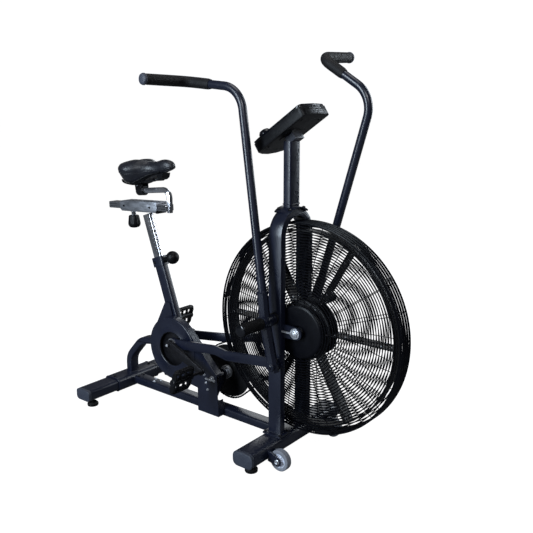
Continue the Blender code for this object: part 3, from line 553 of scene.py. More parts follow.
def add_guards():
    steps = [(0.021, -0.0005), (0.021, 0.0015), (0.03, 0.0018), (0.078, 0.0012), (0.085, 0.0004)]
    steps += [(0.0875, -0.002), (0.0875, -0.005), (0.086, -0.005), (0.085, -0.0018), (0.078, -0.0005)]
    for side, name in SIDES.items():
        wires = Shape()
        for i in range(GUARD_RINGS):
            radius = GUARD_IN + (GUARD_OUT - GUARD_IN) * i / (GUARD_RINGS - 1)
            wires.hoop(FAN + Y * guard_y(side, radius), radius, RING_WIRE, 120, 6)
        for out in around(SPOKES, shift=SPOKE_SHIFT):
            path = [FAN + out * r + Y * (guard_y(side, r) - side * 0.0026) for r in (0.08, 0.345)]
            wires.tube([*path, FAN + out * 0.3468 + Y * side * 0.0265], SPOKE_WIRE, 6)
        wires.made(f"{name}_guard_wires", "frame", WIRE, [f"{name}_grille"])
        profile = [(radius, GUARD_PLATE_Y[side] - 0.001 + height) for radius, height in steps]
        Shape().turned(profile, FAN, Y * side, 96, True).made(f"{name}_guard_plate", "frame", WIRE)


def add_rim():
    rim = Shape()
    for y in (-0.0272, -0.0136, 0.0, 0.0136, 0.0272):
        rim.hoop(FAN + Y * y, RIM_RADIUS, RIM_WIRE, 144, 8)
    for out in around(SPOKES, shift=SPOKE_SHIFT):
        rim.tube([FAN + out * 0.3455 + Y * y for y in (-0.0288, 0.0288)], 0.0014, 6)
    rim.made("rim_wires", "frame", WIRE, ["cage_rim"])
    clips = Shape()
    for i in range(RIM_CLIPS):
        out = spoke(radians(36 + 360 * i / RIM_CLIPS))
        clips.box((0.013, 0.05, 0.0024), FAN + out * 0.3462, out.cross(Y), Y)
        for y in (-0.014, 0.014):
            clips.bolt(FAN + out * 0.3455 + Y * y, out, 0.0052, 0.004, washer=False)
    clips.made("rim_clips", "frame", WIRE, bevel=0.0006)


def add_fan():
    rivets = Shape()
    edges = Shape()
    for i in range(BLADES):
        out = spoke(radians(BLADE_START + 360 * i / BLADES))
        face = out.cross(Y)
        for radius in (0.112, 0.15, 0.275, 0.308):
            for y in (-0.014, 0.014):
                place = FAN + out * radius + Y * y
                rivets.bolt(place + face * 0.002, face, 0.007, 0.0026, washer=False, socket=True)
                rivets.bolt(place - face * 0.002, -face, 0.007, 0.0026, washer=False)
        for side in (-1, 1):
            place = FAN + out * 0.086 + Y * side * 0.0255
            rivets.bolt(place, Y * side, 0.0062, 0.0022, washer=False, socket=True)
        for y in (-0.0235, 0.0235):
            edges.tube([FAN + out * r + Y * y for r in (0.1, 0.15, 0.2, 0.25, 0.3185)], 0.0026, 10)
    rivets.made("fan_rivets", "fan", ZINC)
    edges.made("blade_rolled_edges", "fan", FAN_BLACK, angle=80)
    profile = [(0.015, 0.0256), (0.046, 0.0256), (0.046, 0.0285), (0.04, 0.03), (0.015, 0.03)]
    hub = Shape()
    ends = Shape()
    for side in (-1, 1):
        hub.turned(profile, FAN, Y * side, 48, True)
        ends.turned(band(0.0085, 0.0175, 0.0762, 0.0778), FAN, Y * side, 28, True)
        ends.box((0.052, 0.005, 0.005), FAN + Vector((-0.026, side * 0.0795, 0)))
    hub.made("fan_hub_plates", "fan", FAN_BLACK)
    ends.made("fan_axle_hardware", "frame", ZINC, bevel=0.0003)


# Drive


def lengths_along(path):
    """The distance of each point from the first, measured along the path."""
    lengths = [0.0]
    for a, b in zip(path, path[1:]):
        lengths.append(lengths[-1] + (b - a).length)
    return lengths


def chain_path(first, first_radius, second, second_radius):
    """Closed path round two sprockets, as evenly spaced pins."""
    delta = second - first
    heading = atan2(delta.z, delta.x)
    spread = acos((first_radius - second_radius) / delta.length)
    dense = []
    for i in range(161):
        dense.append(first + spoke(heading + spread + (2 * pi - 2 * spread) * i / 160) * first_radius)
    for i in range(81):
        dense.append(second + spoke(heading - spread + 2 * spread * i / 80) * second_radius)
    dense.append(dense[0])
    lengths = lengths_along(dense)
    count = 2 * round(lengths[-1] / CHAIN_PITCH / 2)
    pins = []
    k = 0
    for i in range(count):
        want = lengths[-1] * i / count
        while lengths[k + 1] < want:
            k += 1
        share = (want - lengths[k]) / max(lengths[k + 1] - lengths[k], 1e-9)
        pins.append(dense[k].lerp(dense[k + 1], share))
    return pins


def add_chain(name, first, first_radius, second, second_radius, y):
    pins = chain_path(first, first_radius + CHAIN_OFFSET, second, second_radius + CHAIN_OFFSET)
    chain = Shape()
    for i, pin in enumerate(pins):
        after = pins[(i + 1) % len(pins)]
        ahead = (after - pin).normalized()
        middle = (pin + after) / 2
        half = (after - pin).length / 2
        outline = turned_half(arc(-half, 0, 0.0033, 90, 270, 5) + [(0, -0.0022)])
        offset = 0.0024 if i % 2 else 0.0016
        for side in (-1, 1):
            chain.prism(outline, 0.0007, middle + Y * (y + side * offset), ahead, ahead.cross(Y))
        chain.turned(band(0, 0.0026, -0.0013, 0.0013), pin + Y * y, Y, 8)
        chain.turned(band(0, 0.0013, -0.0029, 0.0029), pin + Y * y, Y, 6)
    chain.made(f"{name}_links", "frame", OXIDE, [name])


def add_drive():
    add_chain("first_chain", CRANK, 0.082, JACK, 0.02, -0.04)
    add_chain("second_chain", JACK, 0.1, FAN, 0.04, 0.0495)
    centre = CRANK + Z * 0.001
    profile = [(0.0655, 0.0552), (0.0655, 0.0562), (0.0668, 0.0572), (0.069, 0.0572), (0.0702, 0.0564)]
    profile += [(0.112, 0.0562), (0.114, 0.0568), (0.1165, 0.0568), (0.118, 0.056), (0.118, 0.0552)]
    Shape().turned(profile, centre, -Y, 128, True).made("drive_guard_disc", "frame", NAVY)
    lip = Shape().turned(band(0.064, 0.0652, 0.05, 0.0566), centre, -Y, 96, True)
    lip.made("drive_guard_lip", "frame", OXIDE)
    bolts = Shape()
    for x, z in ((-0.1165, 0.196), (-0.1095, 0.166), (-0.1015, 0.142)):
        bolts.bolt((x, -0.0552, z), -Y, 0.007, 0.0038, socket=True)
    bolts.made("drive_guard_bolts", "frame", ZINC)
    place = JACK + Vector((0.01, -0.0552, 0.003))
    adjuster = Shape().bolt(place, -Y, 0.015, 0.007)
    stud = [(0, 0.007), (0.0042, 0.007), (0.0042, 0.0155), (0.0034, 0.0165), (0, 0.0165)]
    adjuster.turned(stud, place, -Y, 20)
    adjuster.box((0.03, 0.004, 0.007), place + Vector((-0.004, -0.012, 0)))
    screw = place + Vector((0.012, -0.012, 0))
    adjuster.tube([screw - X * 0.034, screw + X * 0.008], 0.0022, 10)
    adjuster.tube([screw + X * 0.008, screw + X * 0.012], 0.0046, 6)
    adjuster.made("chain_adjuster", "frame", ZINC, bevel=0.0004)
    spinner = Shape()
    for side, across, deep in ((1, 0.026, 0.0085), (-1, 0.0225, 0.0035)):
        r = across / HEX
        profile = [(0.0083, 0), (r, 0), (r, deep * 0.85), (across / 2.1, deep), (0.0083, deep)]
        spinner.turned(profile, JACK + Y * side * 0.0205, Y * side, 6, True)
    profile = [(0.015, 0.0296), (0.0246, 0.0296), (0.025, 0.0302), (0.025, 0.04)]
    profile += [(0.0241, 0.04), (0.0241, 0.0303), (0.015, 0.0303)]
    spinner.turned(profile, JACK, Y, 48, True).made("countershaft_nuts", "countershaft", ZINC)
    for side, name in SIDES.items():
        pin = CRANK + Vector((PIN_OFFSET[side][0], 0, PIN_OFFSET[side][1]))
        profile = [(0.0112, 0.0787), (0.0202, 0.0787), (0.0202, 0.0812), (0.019, 0.0824), (0.0112, 0.0824)]
        ring = Shape().turned(profile, pin, Y * side, 48, True)
        ring.made(f"{name}_rod_bearing_ring", f"{name}_rod_body", CHROME)
        profile = [(0, 0.1032), (0.005, 0.1032), (0.0058, 0.104), (0.0046, 0.1062), (0, 0.1066)]
        Shape().turned(profile, pin, Y * side, 24).made(f"{name}_crank_pin_cap", "crank", ZINC)
        nut = Shape().bolt(arm_place(side, *LUG, 0.0998), -Y * side, 0.013, 0.007)
        nut.made(f"{name}_rod_end_nut", f"{name}_rod_body", OXIDE)


def add_pedals():
    u = spoke(PEDAL_TILT)
    w = u.cross(Y)
    barrel = [(0.0068, -0.046), (0.0125, -0.046), (0.014, -0.03), (0.012, -0.012), (0.012, 0.02)]
    barrel += [(0.014, 0.044), (0.011, 0.0465), (0.0068, 0.0465)]
    plate = turned_half([(-0.034, -0.01), (0.034, -0.01), (0.043, -0.005), (0.043, 0.005)])
    rail = turned_half([(-0.04, -0.006), (-0.03, -0.01), (0.03, -0.01), (0.04, -0.006)])
    tooth = [(-0.0026, 0), (0.0026, 0), (0.0014, 0.0016), (-0.0014, 0.0016)]
    for side, name in SIDES.items():
        middle = CRANK + Vector((-side * PEDAL_OFFSET[0], side * 0.186, -side * PEDAL_OFFSET[1]))
        body = f"{name}_pedal_body"
        cage = Shape().turned(barrel, middle, Y * side, 32, True)
        for a in (-1, 1):
            tread = middle + u * a * 0.0395
            cage.prism(plate, 0.0062, tread, Y, w)
            for k in range(8):
                for c in (-1, 1):
                    cage.prism(tooth, 0.0058, tread + Y * (-0.0315 + 0.009 * k) + w * c * 0.0094, Y, w * c)
        for b in (-1, 1):
            cage.prism(rail, 0.0045, middle + Y * b * 0.0405, u, w)
            for a in (-1, 1):
                cage.box((0.03, 0.0045, 0.01), middle + Y * b * 0.013 + u * a * 0.0255, u, Y)
        cage.made(f"{name}_pedal_cage", body, PLASTIC, [f"{name}_pedal"], bevel=0.0009)
        reflector = Shape()
        for a in (-1, 1):
            reflector.prism(oblong(0.044, 0.0125, 0.002), 0.001, middle + u * a * 0.0438, Y, w)
        reflector.made(f"{name}_pedal_reflectors", body, GLOSS)
        profile = [(0.0068, 0.0463), (0.0105, 0.0463), (0.0095, 0.0476), (0, 0.0478)]
        Shape().turned(profile, middle, Y * side, 24).made(f"{name}_pedal_dust_cap", body, GLOSS)


# Arms


def add_arms():
    collar = [(0.0142, 0), (0.0176, 0), (0.0184, 0.0012), (0.0184, 0.0038), (0.0172, 0.0052)]
    collar += [(0.0142, 0.0056)]
    bulge = [(0.0104, 0.1), (0.017, 0.1), (0.02, 0.106), (0.0224, 0.115), (0.0232, 0.126)]
    bulge += [(0.0232, 0.14), (0.0222, 0.148), (0.0205, 0.1522), (0.018, 0.1533), (0.0104, 0.1533)]
    lug = [(0, 0.114), (0.013, 0.114), (0.015, 0.116), (0.0158, 0.122), (0.0158, 0.142), (0.0148, 0.148)]
    lug += [(0.012, 0.1505), (0, 0.1505)]
    for side, name in SIDES.items():
        body = f"{name}_arm_body"
        path = bent(arm_corners(side), (0.085, 0.045), ARM_BEND_STEPS)
        tube_end = ARM_BEND_STEPS + 2
        route = [path[0].lerp(path[1], k / 8) for k in range(8)] + path[1:tube_end]
        route.append(path[tube_end - 1].lerp(path[tube_end], 0.7))
        Shape().tube(route, ARM_RADIUS, 40).made(f"{name}_arm_tube", body, NAVY, [f"{name}_arm"])
        add_grip(name, body, path, tube_end)
        low = arm_place(side, 0.004, 0.0925, ARM_Y - 0.0007)
        high = arm_place(side, 0.004, 0.0975, ARM_Y - 0.0009)
        ring = Shape().turned(collar, low, (high - low).normalized(), 48, True)
        ring.made(f"{name}_arm_socket_ring", body, NAVY)
        Shape().turned(bulge, PIVOT, Y * side, 56, True).made(f"{name}_arm_hub", body, NAVY)
        end = Shape().turned(lug, arm_place(side, *LUG, 0), Y * side, 40)
        end.bolt(arm_place(side, *LUG, 0.1505), Y * side, 0.012, 0.0062, socket=True)
        end.made(f"{name}_arm_lug", body, NAVY)
        add_peg(side, name)


def add_grip(name, body, path, first):
    """The foam sleeve, which swells a little between its ends and follows the bend."""
    start, last = path[first - 1], path[-2]
    raw = [start.lerp(path[first], GRIP_START + (1 - GRIP_START) * k / 6) for k in range(6)]
    raw += path[first:-1] + [last.lerp(path[-1], k / 14) for k in range(1, 15)]
    total = lengths_along(raw)
    radii = []
    for s in total:
        inner = min(s / 0.005, (total[-1] - s) / 0.004, 1.0)
        ease = sqrt(max(1 - (1 - inner) ** 2, 0))
        swell = 0.0005 * sin(pi * s / total[-1])
        radii.append(0.0152 + 0.0018 * ease + swell)
    foam = Shape().tube(raw, radii, 40).made(f"{name}_grip_foam", body, FOAM, [f"{name}_grip"], angle=60)
    profile = [(0.012, -0.002), (0.0176, -0.0005), (0.0184, 0.0014), (0.0182, 0.005)]
    profile += [(0.0168, 0.0084), (0.013, 0.0106), (0.007, 0.0114), (0, 0.0116)]
    cap = Shape().turned(profile, path[-1], (path[-1] - last).normalized(), 40)
    cap.made(f"{name}_grip_end", body, CAP, [f"{name}_grip_cap"], angle=60)


def add_peg(side, name):
    """The foot peg: a ribbed rubber sleeve with lengthwise knurling and a round plug."""
    along = Y * side
    profile = [(0.0104, 0.1542), (0.0186, 0.1542), (0.0186, 0.1575)]
    y = 0.159
    while y < 0.245:
        profile += [(0.0176, y), (0.0183, y + 0.0006), (0.0183, y + 0.0016), (0.0176, y + 0.0022)]
        y += 0.003
    profile += [(0.0184, 0.2475), (0.0184, 0.25), (0.0104, 0.25)]
    sleeve = Shape().turned(profile, PIVOT, along, 44, True)
    sleeve.made(f"{name}_peg_sleeve", "frame", RUBBER, [f"{name}_foot_peg"], angle=50)
    ribs = Shape()
    for out in around(PEG_RIBS):
        ribs.box((0.084, 0.0016, 0.0012), PIVOT + out * 0.0181 + along * 0.2025, along, out.cross(along))
    ribs.made(f"{name}_peg_knurling", "frame", RUBBER, bevel=0.0003)
    profile = [(0, 0.2495), (0.019, 0.2495), (0.0192, 0.2508), (0.018, 0.2524), (0.014, 0.2534)]
    profile += [(0.008, 0.254), (0, 0.2542)]
    Shape().turned(profile, PIVOT, along, 44).made(f"{name}_peg_plug", "frame", GLOSS, angle=50)


# Frame, wheels and feet


def weld_bead(beads, path, radius, seed):
    """Adds a rippled bead that runs round a joint."""
    rng = random.Random(seed)
    path = [Vector(point) for point in path]
    closed = []
    for a, b in zip(path, path[1:] + path[:1]):
        steps = max(1, round((b - a).length / BEAD_STEP))
        closed += [a.lerp(b, k / steps) for k in range(steps)]
    radii = [radius * (0.85 + 0.25 * (i % 2) + 0.08 * rng.random()) for i in range(len(closed))]
    beads.tube(closed, radii, closed=True)


def add_frame():
    add_welds()
    bolts = Shape()
    for side in (-1, 1):
        for dx in (-0.0305, 0.0305):
            for dy in (-0.0215, 0.0215):
                bolts.bolt((LEG_X + dx, side * LEG_Y + dy, BAR_Z + 0.0313), Z, 0.0075, 0.0042)
        bolts.bolt((REAR_X, side * 0.09, BAR_Z + 0.026), Z, 0.009, 0.0045)
        a = radians(90 - side * 24)
        out = Vector((0, cos(a), sin(a)))
        for dx in (-0.022, 0.022):
            bolts.bolt(Vector((LEG_X + dx, 0, ARCH_Z)) + out * 0.0903, out, 0.009, 0.005)
            bolts.bolt(Vector((LEG_X + dx * 0.6, 0, ARCH_Z)) + out * 0.0607, -out, 0.009, 0.005)
    for y in (-0.013, 0.013):
        bolts.bolt((-0.525, y, BAR_Z + 0.016), Z, 0.0085, 0.0045)
    bolts.made("frame_bolts", "frame", OXIDE)
    bright = Shape()
    plates = Shape()
    outline = [(LEG_X + 0.04, 0.035), (LEG_X + 0.04, 0.069), (LEG_X + 0.052, 0.069)]
    outline += arc(WHEEL[0], WHEEL[2], 0.015, 62, -98, 14) + [(LEG_X + 0.05, 0.033)]
    for side in (-1, 1):
        axle = (WHEEL[0], side * (WHEEL[1] + 0.0205), WHEEL[2])
        bright.bolt(axle, Y * side, 0.0125, 0.006, socket=True)
        plates.prism(outline, 0.0042, Vector((0, side * (WHEEL[1] + 0.0185), 0)), X, Z)
    for k, x in enumerate((-0.452, -0.437, -0.422)):
        bright.bolt((x, 0.012 * (-1) ** k, BAR_Z + 0.016), Z, 0.0075, 0.0042)
    bright.made("bright_frame_bolts", "frame", ZINC)
    plates.made("wheel_bracket_plates", "frame", NAVY, bevel=0.001)
    seams = Shape()
    for y in (-0.103, 0.103):
        loop = [Vector((REAR_X + b, y, BAR_Z + a)) for a, b in oblong(0.0524, 0.0844, 0.016)]
        seams.tube(loop, 0.0011, closed=True)
    seams.made("sleeve_lips", "frame", NAVY, angle=80)


def add_welds():
    beads = Shape()
    for side in (-1, 1):
        loop = [(LEG_X + a, side * LEG_Y + b, BAR_Z + 0.0315) for a, b in oblong(0.0515, 0.0255, 0.005)]
        weld_bead(beads, loop, 0.002, 3 + side)
    weld_bead(beads, [(-0.5765 + a, b, 0.0825) for a, b in oblong(0.0295, 0.0435, 0.006)], 0.002, 7)
    weld_bead(beads, [(REAR_X + 0.0428, a, BAR_Z + b) for a, b in oblong(0.048, 0.033, 0.007)], 0.002, 9)
    weld_bead(beads, [(LEG_X + b, a, 0.8425) for a, b in oblong(0.052, 0.031, 0.005)], 0.0018, 11)
    ring = around(56, SEAT_AHEAD * 0.0235, Y * 0.014)
    weld_bead(beads, [CRANK + SEAT_UP * 0.0245 + out for out in ring], 0.0018, 13)
    beads.made("weld_beads", "frame", NAVY, angle=80)


def add_wheels():
    rubber = [(0.0235, -0.0105), (0.03, -0.0118), (0.0335, -0.0112), (0.035, -0.0092), (0.0354, -0.005)]
    core = [(0.005, -0.0116), (0.011, -0.0116), (0.0125, -0.0085), (0.015, -0.007), (0.02, -0.0075)]
    core += [(0.0225, -0.01), (0.024, -0.01)]
    for side, name in SIDES.items():
        middle = Vector((WHEEL[0], side * WHEEL[1], WHEEL[2]))
        body = f"{name}_wheel_body"
        tyre = Shape().turned(mirrored(rubber), middle, Y, 72, True)
        tyre.made(f"{name}_wheel_tyre", body, TYRE, [f"{name}_transport_wheel"], angle=30)
        hub = Shape().turned(mirrored(core), middle, Y, 64, True)
        for out in around(6):
            for face in (-1, 1):
                hub.box((0.011, 0.003, 0.0022), middle + out * 0.0175 + Y * face * 0.008, out, out.cross(Y))
        hub.made(f"{name}_wheel_hub", body, HUB, angle=30)
    stems = Shape()
    for x, top in ((LEG_X, 0.0306), (REAR_X, 0.0336)):
        for side in (-1, 1):
            nut = band(0.0072, 0.0115, top - 0.008, top - 0.0034)
            stems.turned(nut, Vector((x, side * 0.205, 0)), Z, 6, True)
    stems.made("levelling_foot_nuts", "frame", OXIDE, bevel=0.0003)


# Console


def on_console(a, b, out):
    """A place on the console: a up its slope, b to the left and out from its middle plane."""
    return CONSOLE_MIDDLE + CONSOLE_ALONG * a + Y * b + CONSOLE_OUT * out


def add_console():
    ribs = Shape()
    outline = [(0.1107, -0.052), (0.1145, -0.03), (0.116, 0), (0.1145, 0.03), (0.1107, 0.052)]
    outline += [(0.1025, 0.06), (0.0965, 0.06), (0.0965, -0.06), (0.1025, -0.06)]
    for k in range(4):
        ribs.prism(outline, 0.0058, on_console(0, 0, 0.011 - 0.008 * k), CONSOLE_ALONG, Y)
    ribs.made("console_end_ribs", "frame", GREY_TRIM, bevel=0.0012)
    profile = [(0, 0.033), (0.0095, 0.0318), (0.0165, 0.0285), (0.0205, 0.0225), (0.022, 0.015)]
    profile += [(0.0225, 0), (0, 0)]
    dial = Shape().turned(profile, on_console(-0.083, -0.008, 0.0183), CONSOLE_OUT, 48)
    dial.made("console_dial", "frame", GLOSS, angle=50)
    fields = Shape()
    digits = Shape()
    for a, b, wide, high, count, tall in (
        (0.062, 0, 0.022, 0.08, 4, 0.013),
        (0.034, -0.021, 0.022, 0.038, 2, 0.012),
        (0.034, 0.021, 0.022, 0.038, 2, 0.012),
        (0.004, -0.021, 0.026, 0.038, 2, 0.015),
        (0.004, 0.021, 0.026, 0.038, 2, 0.015),
    ):
        fields.prism(oblong(wide, high, 0.002), 0.0004, on_console(a, b, 0.0158), CONSOLE_ALONG, Y)
        long = tall * 0.42
        for k in range(count):
            middle = b - (k - (count - 1) / 2) * tall * 0.75
            bars = [(da, 0, 0.0012, long) for da in (tall / 2, -tall / 2)]
            for db in (tall * 0.24, -tall * 0.24):
                bars += [(da, db, long, 0.0012) for da in (tall / 4, -tall / 4)]
            for da, db, la, lb in bars:
                digits.box((la, lb, 0.0003), on_console(a + da, middle + db, 0.0161), CONSOLE_ALONG, Y)
    fields.made("display_fields", "frame", LCD)
    digits.made("display_zeros", "frame", SHADE_AND_PRINT_BLACK)
    under = Shape()
    for a in (-0.07, 0.08):
        for b in (-0.045, 0.045):
            under.bolt(on_console(a, b, -0.0189), -CONSOLE_OUT, 0.007, 0.0016, washer=False, socket=True)
    under.made("console_screws", "frame", OXIDE)
    outline = [(0.085, 0.06), (0.085, -0.06), (-0.082, -0.06), (-0.092, 0), (-0.082, 0.06)]
    seam = Shape().tube([on_console(a, b, -0.019) for a, b in outline], 0.0006, 6, closed=True)
    seam.box((0.06, 0.07, 0.0022), on_console(0, 0, -0.0195), CONSOLE_ALONG, Y)
    seam.made("console_back_panel", "frame", PLASTIC, bevel=0.0006)


# Seat


def on_seat_tube(up, ahead):
    """A place measured up the seat tube from the crank, and ahead of its middle line."""
    return CRANK + SEAT_UP * up + SEAT_AHEAD * ahead


def add_seat_tube():
    hole_shades = Shape()
    rings = Shape()
    marks = Shape()
    for k in range(POST_HOLES):
        up = 0.372 + 0.0165 * k
        place = on_seat_tube(up, 0.0189)
        # Each hole is a flat black disc on the post's face: painted shade in place of the hole's depth.
        hole_shades.turned(band(0, 0.0036, 0, 0.00018), place, SEAT_AHEAD, 24)
        rings.turned(band(0.0035, 0.0042, 0, 0.00024), place, SEAT_AHEAD, 24, True)
        for side in (-1, 1):
            marks.box(
                (0.006, 0.001, 0.0002), on_seat_tube(up, 0.006) + Y * side * 0.01008, SEAT_AHEAD, SEAT_UP
            )
    hole_shades.made("post_hole_shade_discs", "seat_height", SHADE_AND_PRINT_BLACK)
    rings.made("post_hole_edges", "seat_height", CHROME)
    marks.made("post_marks", "seat_height", MARK)
    profile = [(0, 0), (0.011, 0), (0.011, 0.003), (0.008, 0.0045), (0.0085, 0.012), (0.0115, 0.02)]
    profile += [(r, 0.044 - h) for h, r in arc(0, 0, 0.0247, 28, 178, 30)] + [(0, 0.0687)]
    knob = Shape().turned(profile, on_seat_tube(COLLAR_AT, 0.0273), SEAT_AHEAD, 48)
    knob.made("pull_knob_ball", "height_pin_knob", PLASTIC, ["pull_knob"], angle=50)
    clamp = Shape()
    for side in (-1, 1):
        place = on_seat_tube(COLLAR_AT, -0.012) + Y * side * 0.0176
        clamp.bolt(place, Y * side, 0.0075, 0.0036, socket=True)
    clamp.made("collar_screws", "frame", OXIDE)


def on_slide(along, y, up=0):
    """A place measured along the slider from its middle, to the left and up from its middle line."""
    return SLIDE_MIDDLE + SLIDE * along + Y * y + SLIDE_UP * up


def add_slider():
    grooves = Shape()
    lips = Shape()
    screws = Shape()
    for side in (-1, 1):
        for up in (-0.0045, 0.0045):
            for low, high in ((-0.167, -0.12), (0.113, 0.153)):
                middle = on_slide((low + high) / 2, side * 0.02005, up)
                grooves.box((high - low, 0.0016, 0.0003), middle, SLIDE, SLIDE_UP)
    grooves.made("slide_grooves", "seat_fore_aft", OXIDE)
    outline = [(0.101, -0.0228), (0.1118, -0.0228), (0.1114, -0.0165), (0.101, -0.0165)]
    latch = Shape().prism(outline, 0.046, SLIDE_MIDDLE, SLIDE, SLIDE_UP)
    latch.made("slider_latch", "seat_height", PLASTIC, bevel=0.001)
    for end in (-0.0951, 0.1116):
        for side in (-1, 1):
            lips.box((0.0012, 0.005, 0.018), on_slide(end, side * 0.0235, 0.001), SLIDE, Y)
    lips.made("housing_lips", "seat_height", BRUSHED)
    for a in (-0.07, 0.075):
        for side in (-1, 1):
            place = on_slide(a, side * 0.0271)
            screws.bolt(place, Y * side, 0.0075, 0.0028, washer=False, socket=True)
    screws.made("housing_screws", "seat_height", OXIDE)
    top = on_slide(KNOB_AT, 0, -0.0203)
    profile = [(0, 0), (0.0125, 0), (0.0125, 0.003), (0.0085, 0.0045), (0.0085, 0.0185), (0, 0.0185)]
    Shape().turned(profile, top, -SLIDE_UP).made("slider_knob_neck", "slider_clamp_knob", CHROME)
    profile = [(0.0085, 0.017), (0.0175, 0.018), (0.02, 0.021), (0.0212, 0.03), (0.0236, 0.047)]
    profile += [(0.0238, 0.052), (0.0218, 0.059), (0.017, 0.064), (0.009, 0.0662), (0, 0.0668)]
    cap = Shape().turned(profile, top, -SLIDE_UP, 72)
    for point in cap.points:
        away = point - top
        depth = -away.dot(SLIDE_UP)
        flat = away + SLIDE_UP * depth
        if flat.length > 0.012 and 0.02 < depth < 0.056:
            angle = atan2(flat.y, flat.dot(SLIDE))
            point -= flat.normalized() * 0.0014 * max(0, cos(KNOB_FLUTES * angle)) ** 3
    cap.made("slider_knob_cap", "slider_clamp_knob", PLASTIC, ["slider_knob"], angle=60)


def saddle_section(t):
    """Half width, middle height, and height above and below it, from the tail at -1 to the nose at 1."""
    full = max(1 - abs(t) ** 3.6, 0) ** (1 / 3.0)
    tail = 1 / (1 + exp(7.0 * (t + 0.12)))
    dip = exp(-(((t - 0.2) / 0.28) ** 2))
    nose = 1 / (1 + exp(-9.0 * (t - 0.55)))
    wide = (0.029 + 0.068 * tail) * full
    top = (0.0305 - 0.005 * dip + 0.0055 * nose) * full
    bottom = (0.0165 + 0.048 * tail - 0.0045 * nose) * full
    return wide, 0.914 + 0.0095 * nose, top, bottom


def saddle_point(t, across, up, shrink):
    """A point of the saddle's skin: t from the tail to the nose, and a direction round its middle line."""
    wide, middle, top, bottom = saddle_section(t)
    high = top if up > 0 else bottom
    tuck = 1 - 0.22 * max(-up, 0)
    x = SADDLE_X - 0.003 + 0.131 * t * shrink
    return Vector((x, wide * across * tuck * shrink, middle + high * up * shrink))


def add_saddle():
    work = bmesh.new()
    bmesh.ops.create_uvsphere(work, u_segments=48, v_segments=36, radius=1)
    for vert in work.verts:
        x, y, t = vert.co
        ring = hypot(x, y)
        across, up, squared = 0, 0, 1
        if ring > 1e-6:
            across, up = x / ring, y / ring
            squared = max(abs(across), abs(up)) ** 0.35
        vert.co = saddle_point(t, across / squared, up / squared, 0.955)
    mesh = bpy.data.meshes.new("saddle_pad")
    work.to_mesh(mesh)
    work.free()
    pad = placed("saddle_pad", mesh)
    remesh = pad.modifiers.new("remesh", "REMESH")
    remesh.mode = "VOXEL"
    remesh.voxel_size = 0.005
    make_real(pad)
    inflate(pad, 4.0, 0.006)
    shape_saddle(pad)
    refine = pad.modifiers.new("refine", "SUBSURF")
    refine.levels = 1
    refine.render_levels = 1
    make_real(pad)
    pad.data.materials.append(VINYL)
    pad.data.shade_smooth()
    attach(pad, "seat_fore_aft")
    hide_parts("saddle")
    add_saddle_trim(pad)
    add_saddle_pan()


def make_real(obj):
    """Replaces the object's mesh with its evaluated one, and drops its modifiers."""
    bpy.context.view_layer.update()
    graph = bpy.context.evaluated_depsgraph_get()
    mesh = bpy.data.meshes.new_from_object(obj.evaluated_get(graph))
    obj.modifiers.clear()
    obj.data = mesh


def inflate(obj, pressure, most):
    """Swells the pad as cloth under pressure, then limits how far any point has moved."""
    before = [vert.co.copy() for vert in obj.data.vertices]
    cloth = obj.modifiers.new("cloth", "CLOTH")
    cloth.settings.use_pressure = True
    cloth.settings.uniform_pressure_force = pressure
    cloth.settings.effector_weights.gravity = 0
    cloth.settings.quality = 6
    scene = bpy.context.scene
    for number in range(1, 21):
        scene.frame_set(number)
    make_real(obj)
    scene.frame_set(1)
    for vert, start in zip(obj.data.vertices, before):
        move = vert.co - start
        if move.length > most:
            vert.co = start + move.normalized() * most


def bell(distance, width):
    """1 where the distance is 0, falling away smoothly over the width."""
    return exp(-((distance / width) ** 2))


def shape_saddle(pad):
    """Sinks the centre channel, raises the lobes beside it and notches the tail."""
    for vert in pad.data.vertices:
        t = (vert.co.x - SADDLE_X) / 0.13
        if vert.co.z > 0.915:
            along = bell(t + 0.3, 0.55)
            vert.co.z -= 0.005 * along * bell(vert.co.y, 0.0095)
            vert.co.z += 0.002 * bell(abs(vert.co.y) - 0.04, 0.02) * along
        vert.co.x += 0.012 * bell(t + 1.0, 0.16) * bell(vert.co.y, 0.018)


def add_saddle_trim(pad):
    """Piping round the pad's lower edge, with a row of stitches above it."""
    tree = BVHTree.FromObject(pad, bpy.context.evaluated_depsgraph_get())
    seam = []
    for k in range(STITCHES):
        a = 2 * pi * k / STITCHES
        t = cos(a) * 0.97
        wide, middle, _, bottom = saddle_section(t)
        across = copysign(wide * 1.2 + 0.004, sin(a))
        near, normal, _, _ = tree.find_nearest(Vector((SADDLE_X + 0.15 * t, across, middle - bottom * 0.55)))
        seam.append(near + normal * 0.0001)
    piping = Shape().tube(seam, 0.0012, closed=True)
    piping.made("saddle_piping", "seat_fore_aft", VINYL, angle=80)
    stitches = Shape()
    for here, after in zip(seam, seam[1:] + seam[:1]):
        near, normal, _, _ = tree.find_nearest(here.lerp(after, 0.5) + Z * 0.0045)
        way = (after - here) * 0.26
        path = [near - way + normal * 0.0002, near + normal * 0.0006, near + way + normal * 0.0002]
        stitches.tube(path, 0.0005, 6)
    stitches.made("saddle_stitches", "seat_fore_aft", THREAD, angle=80)


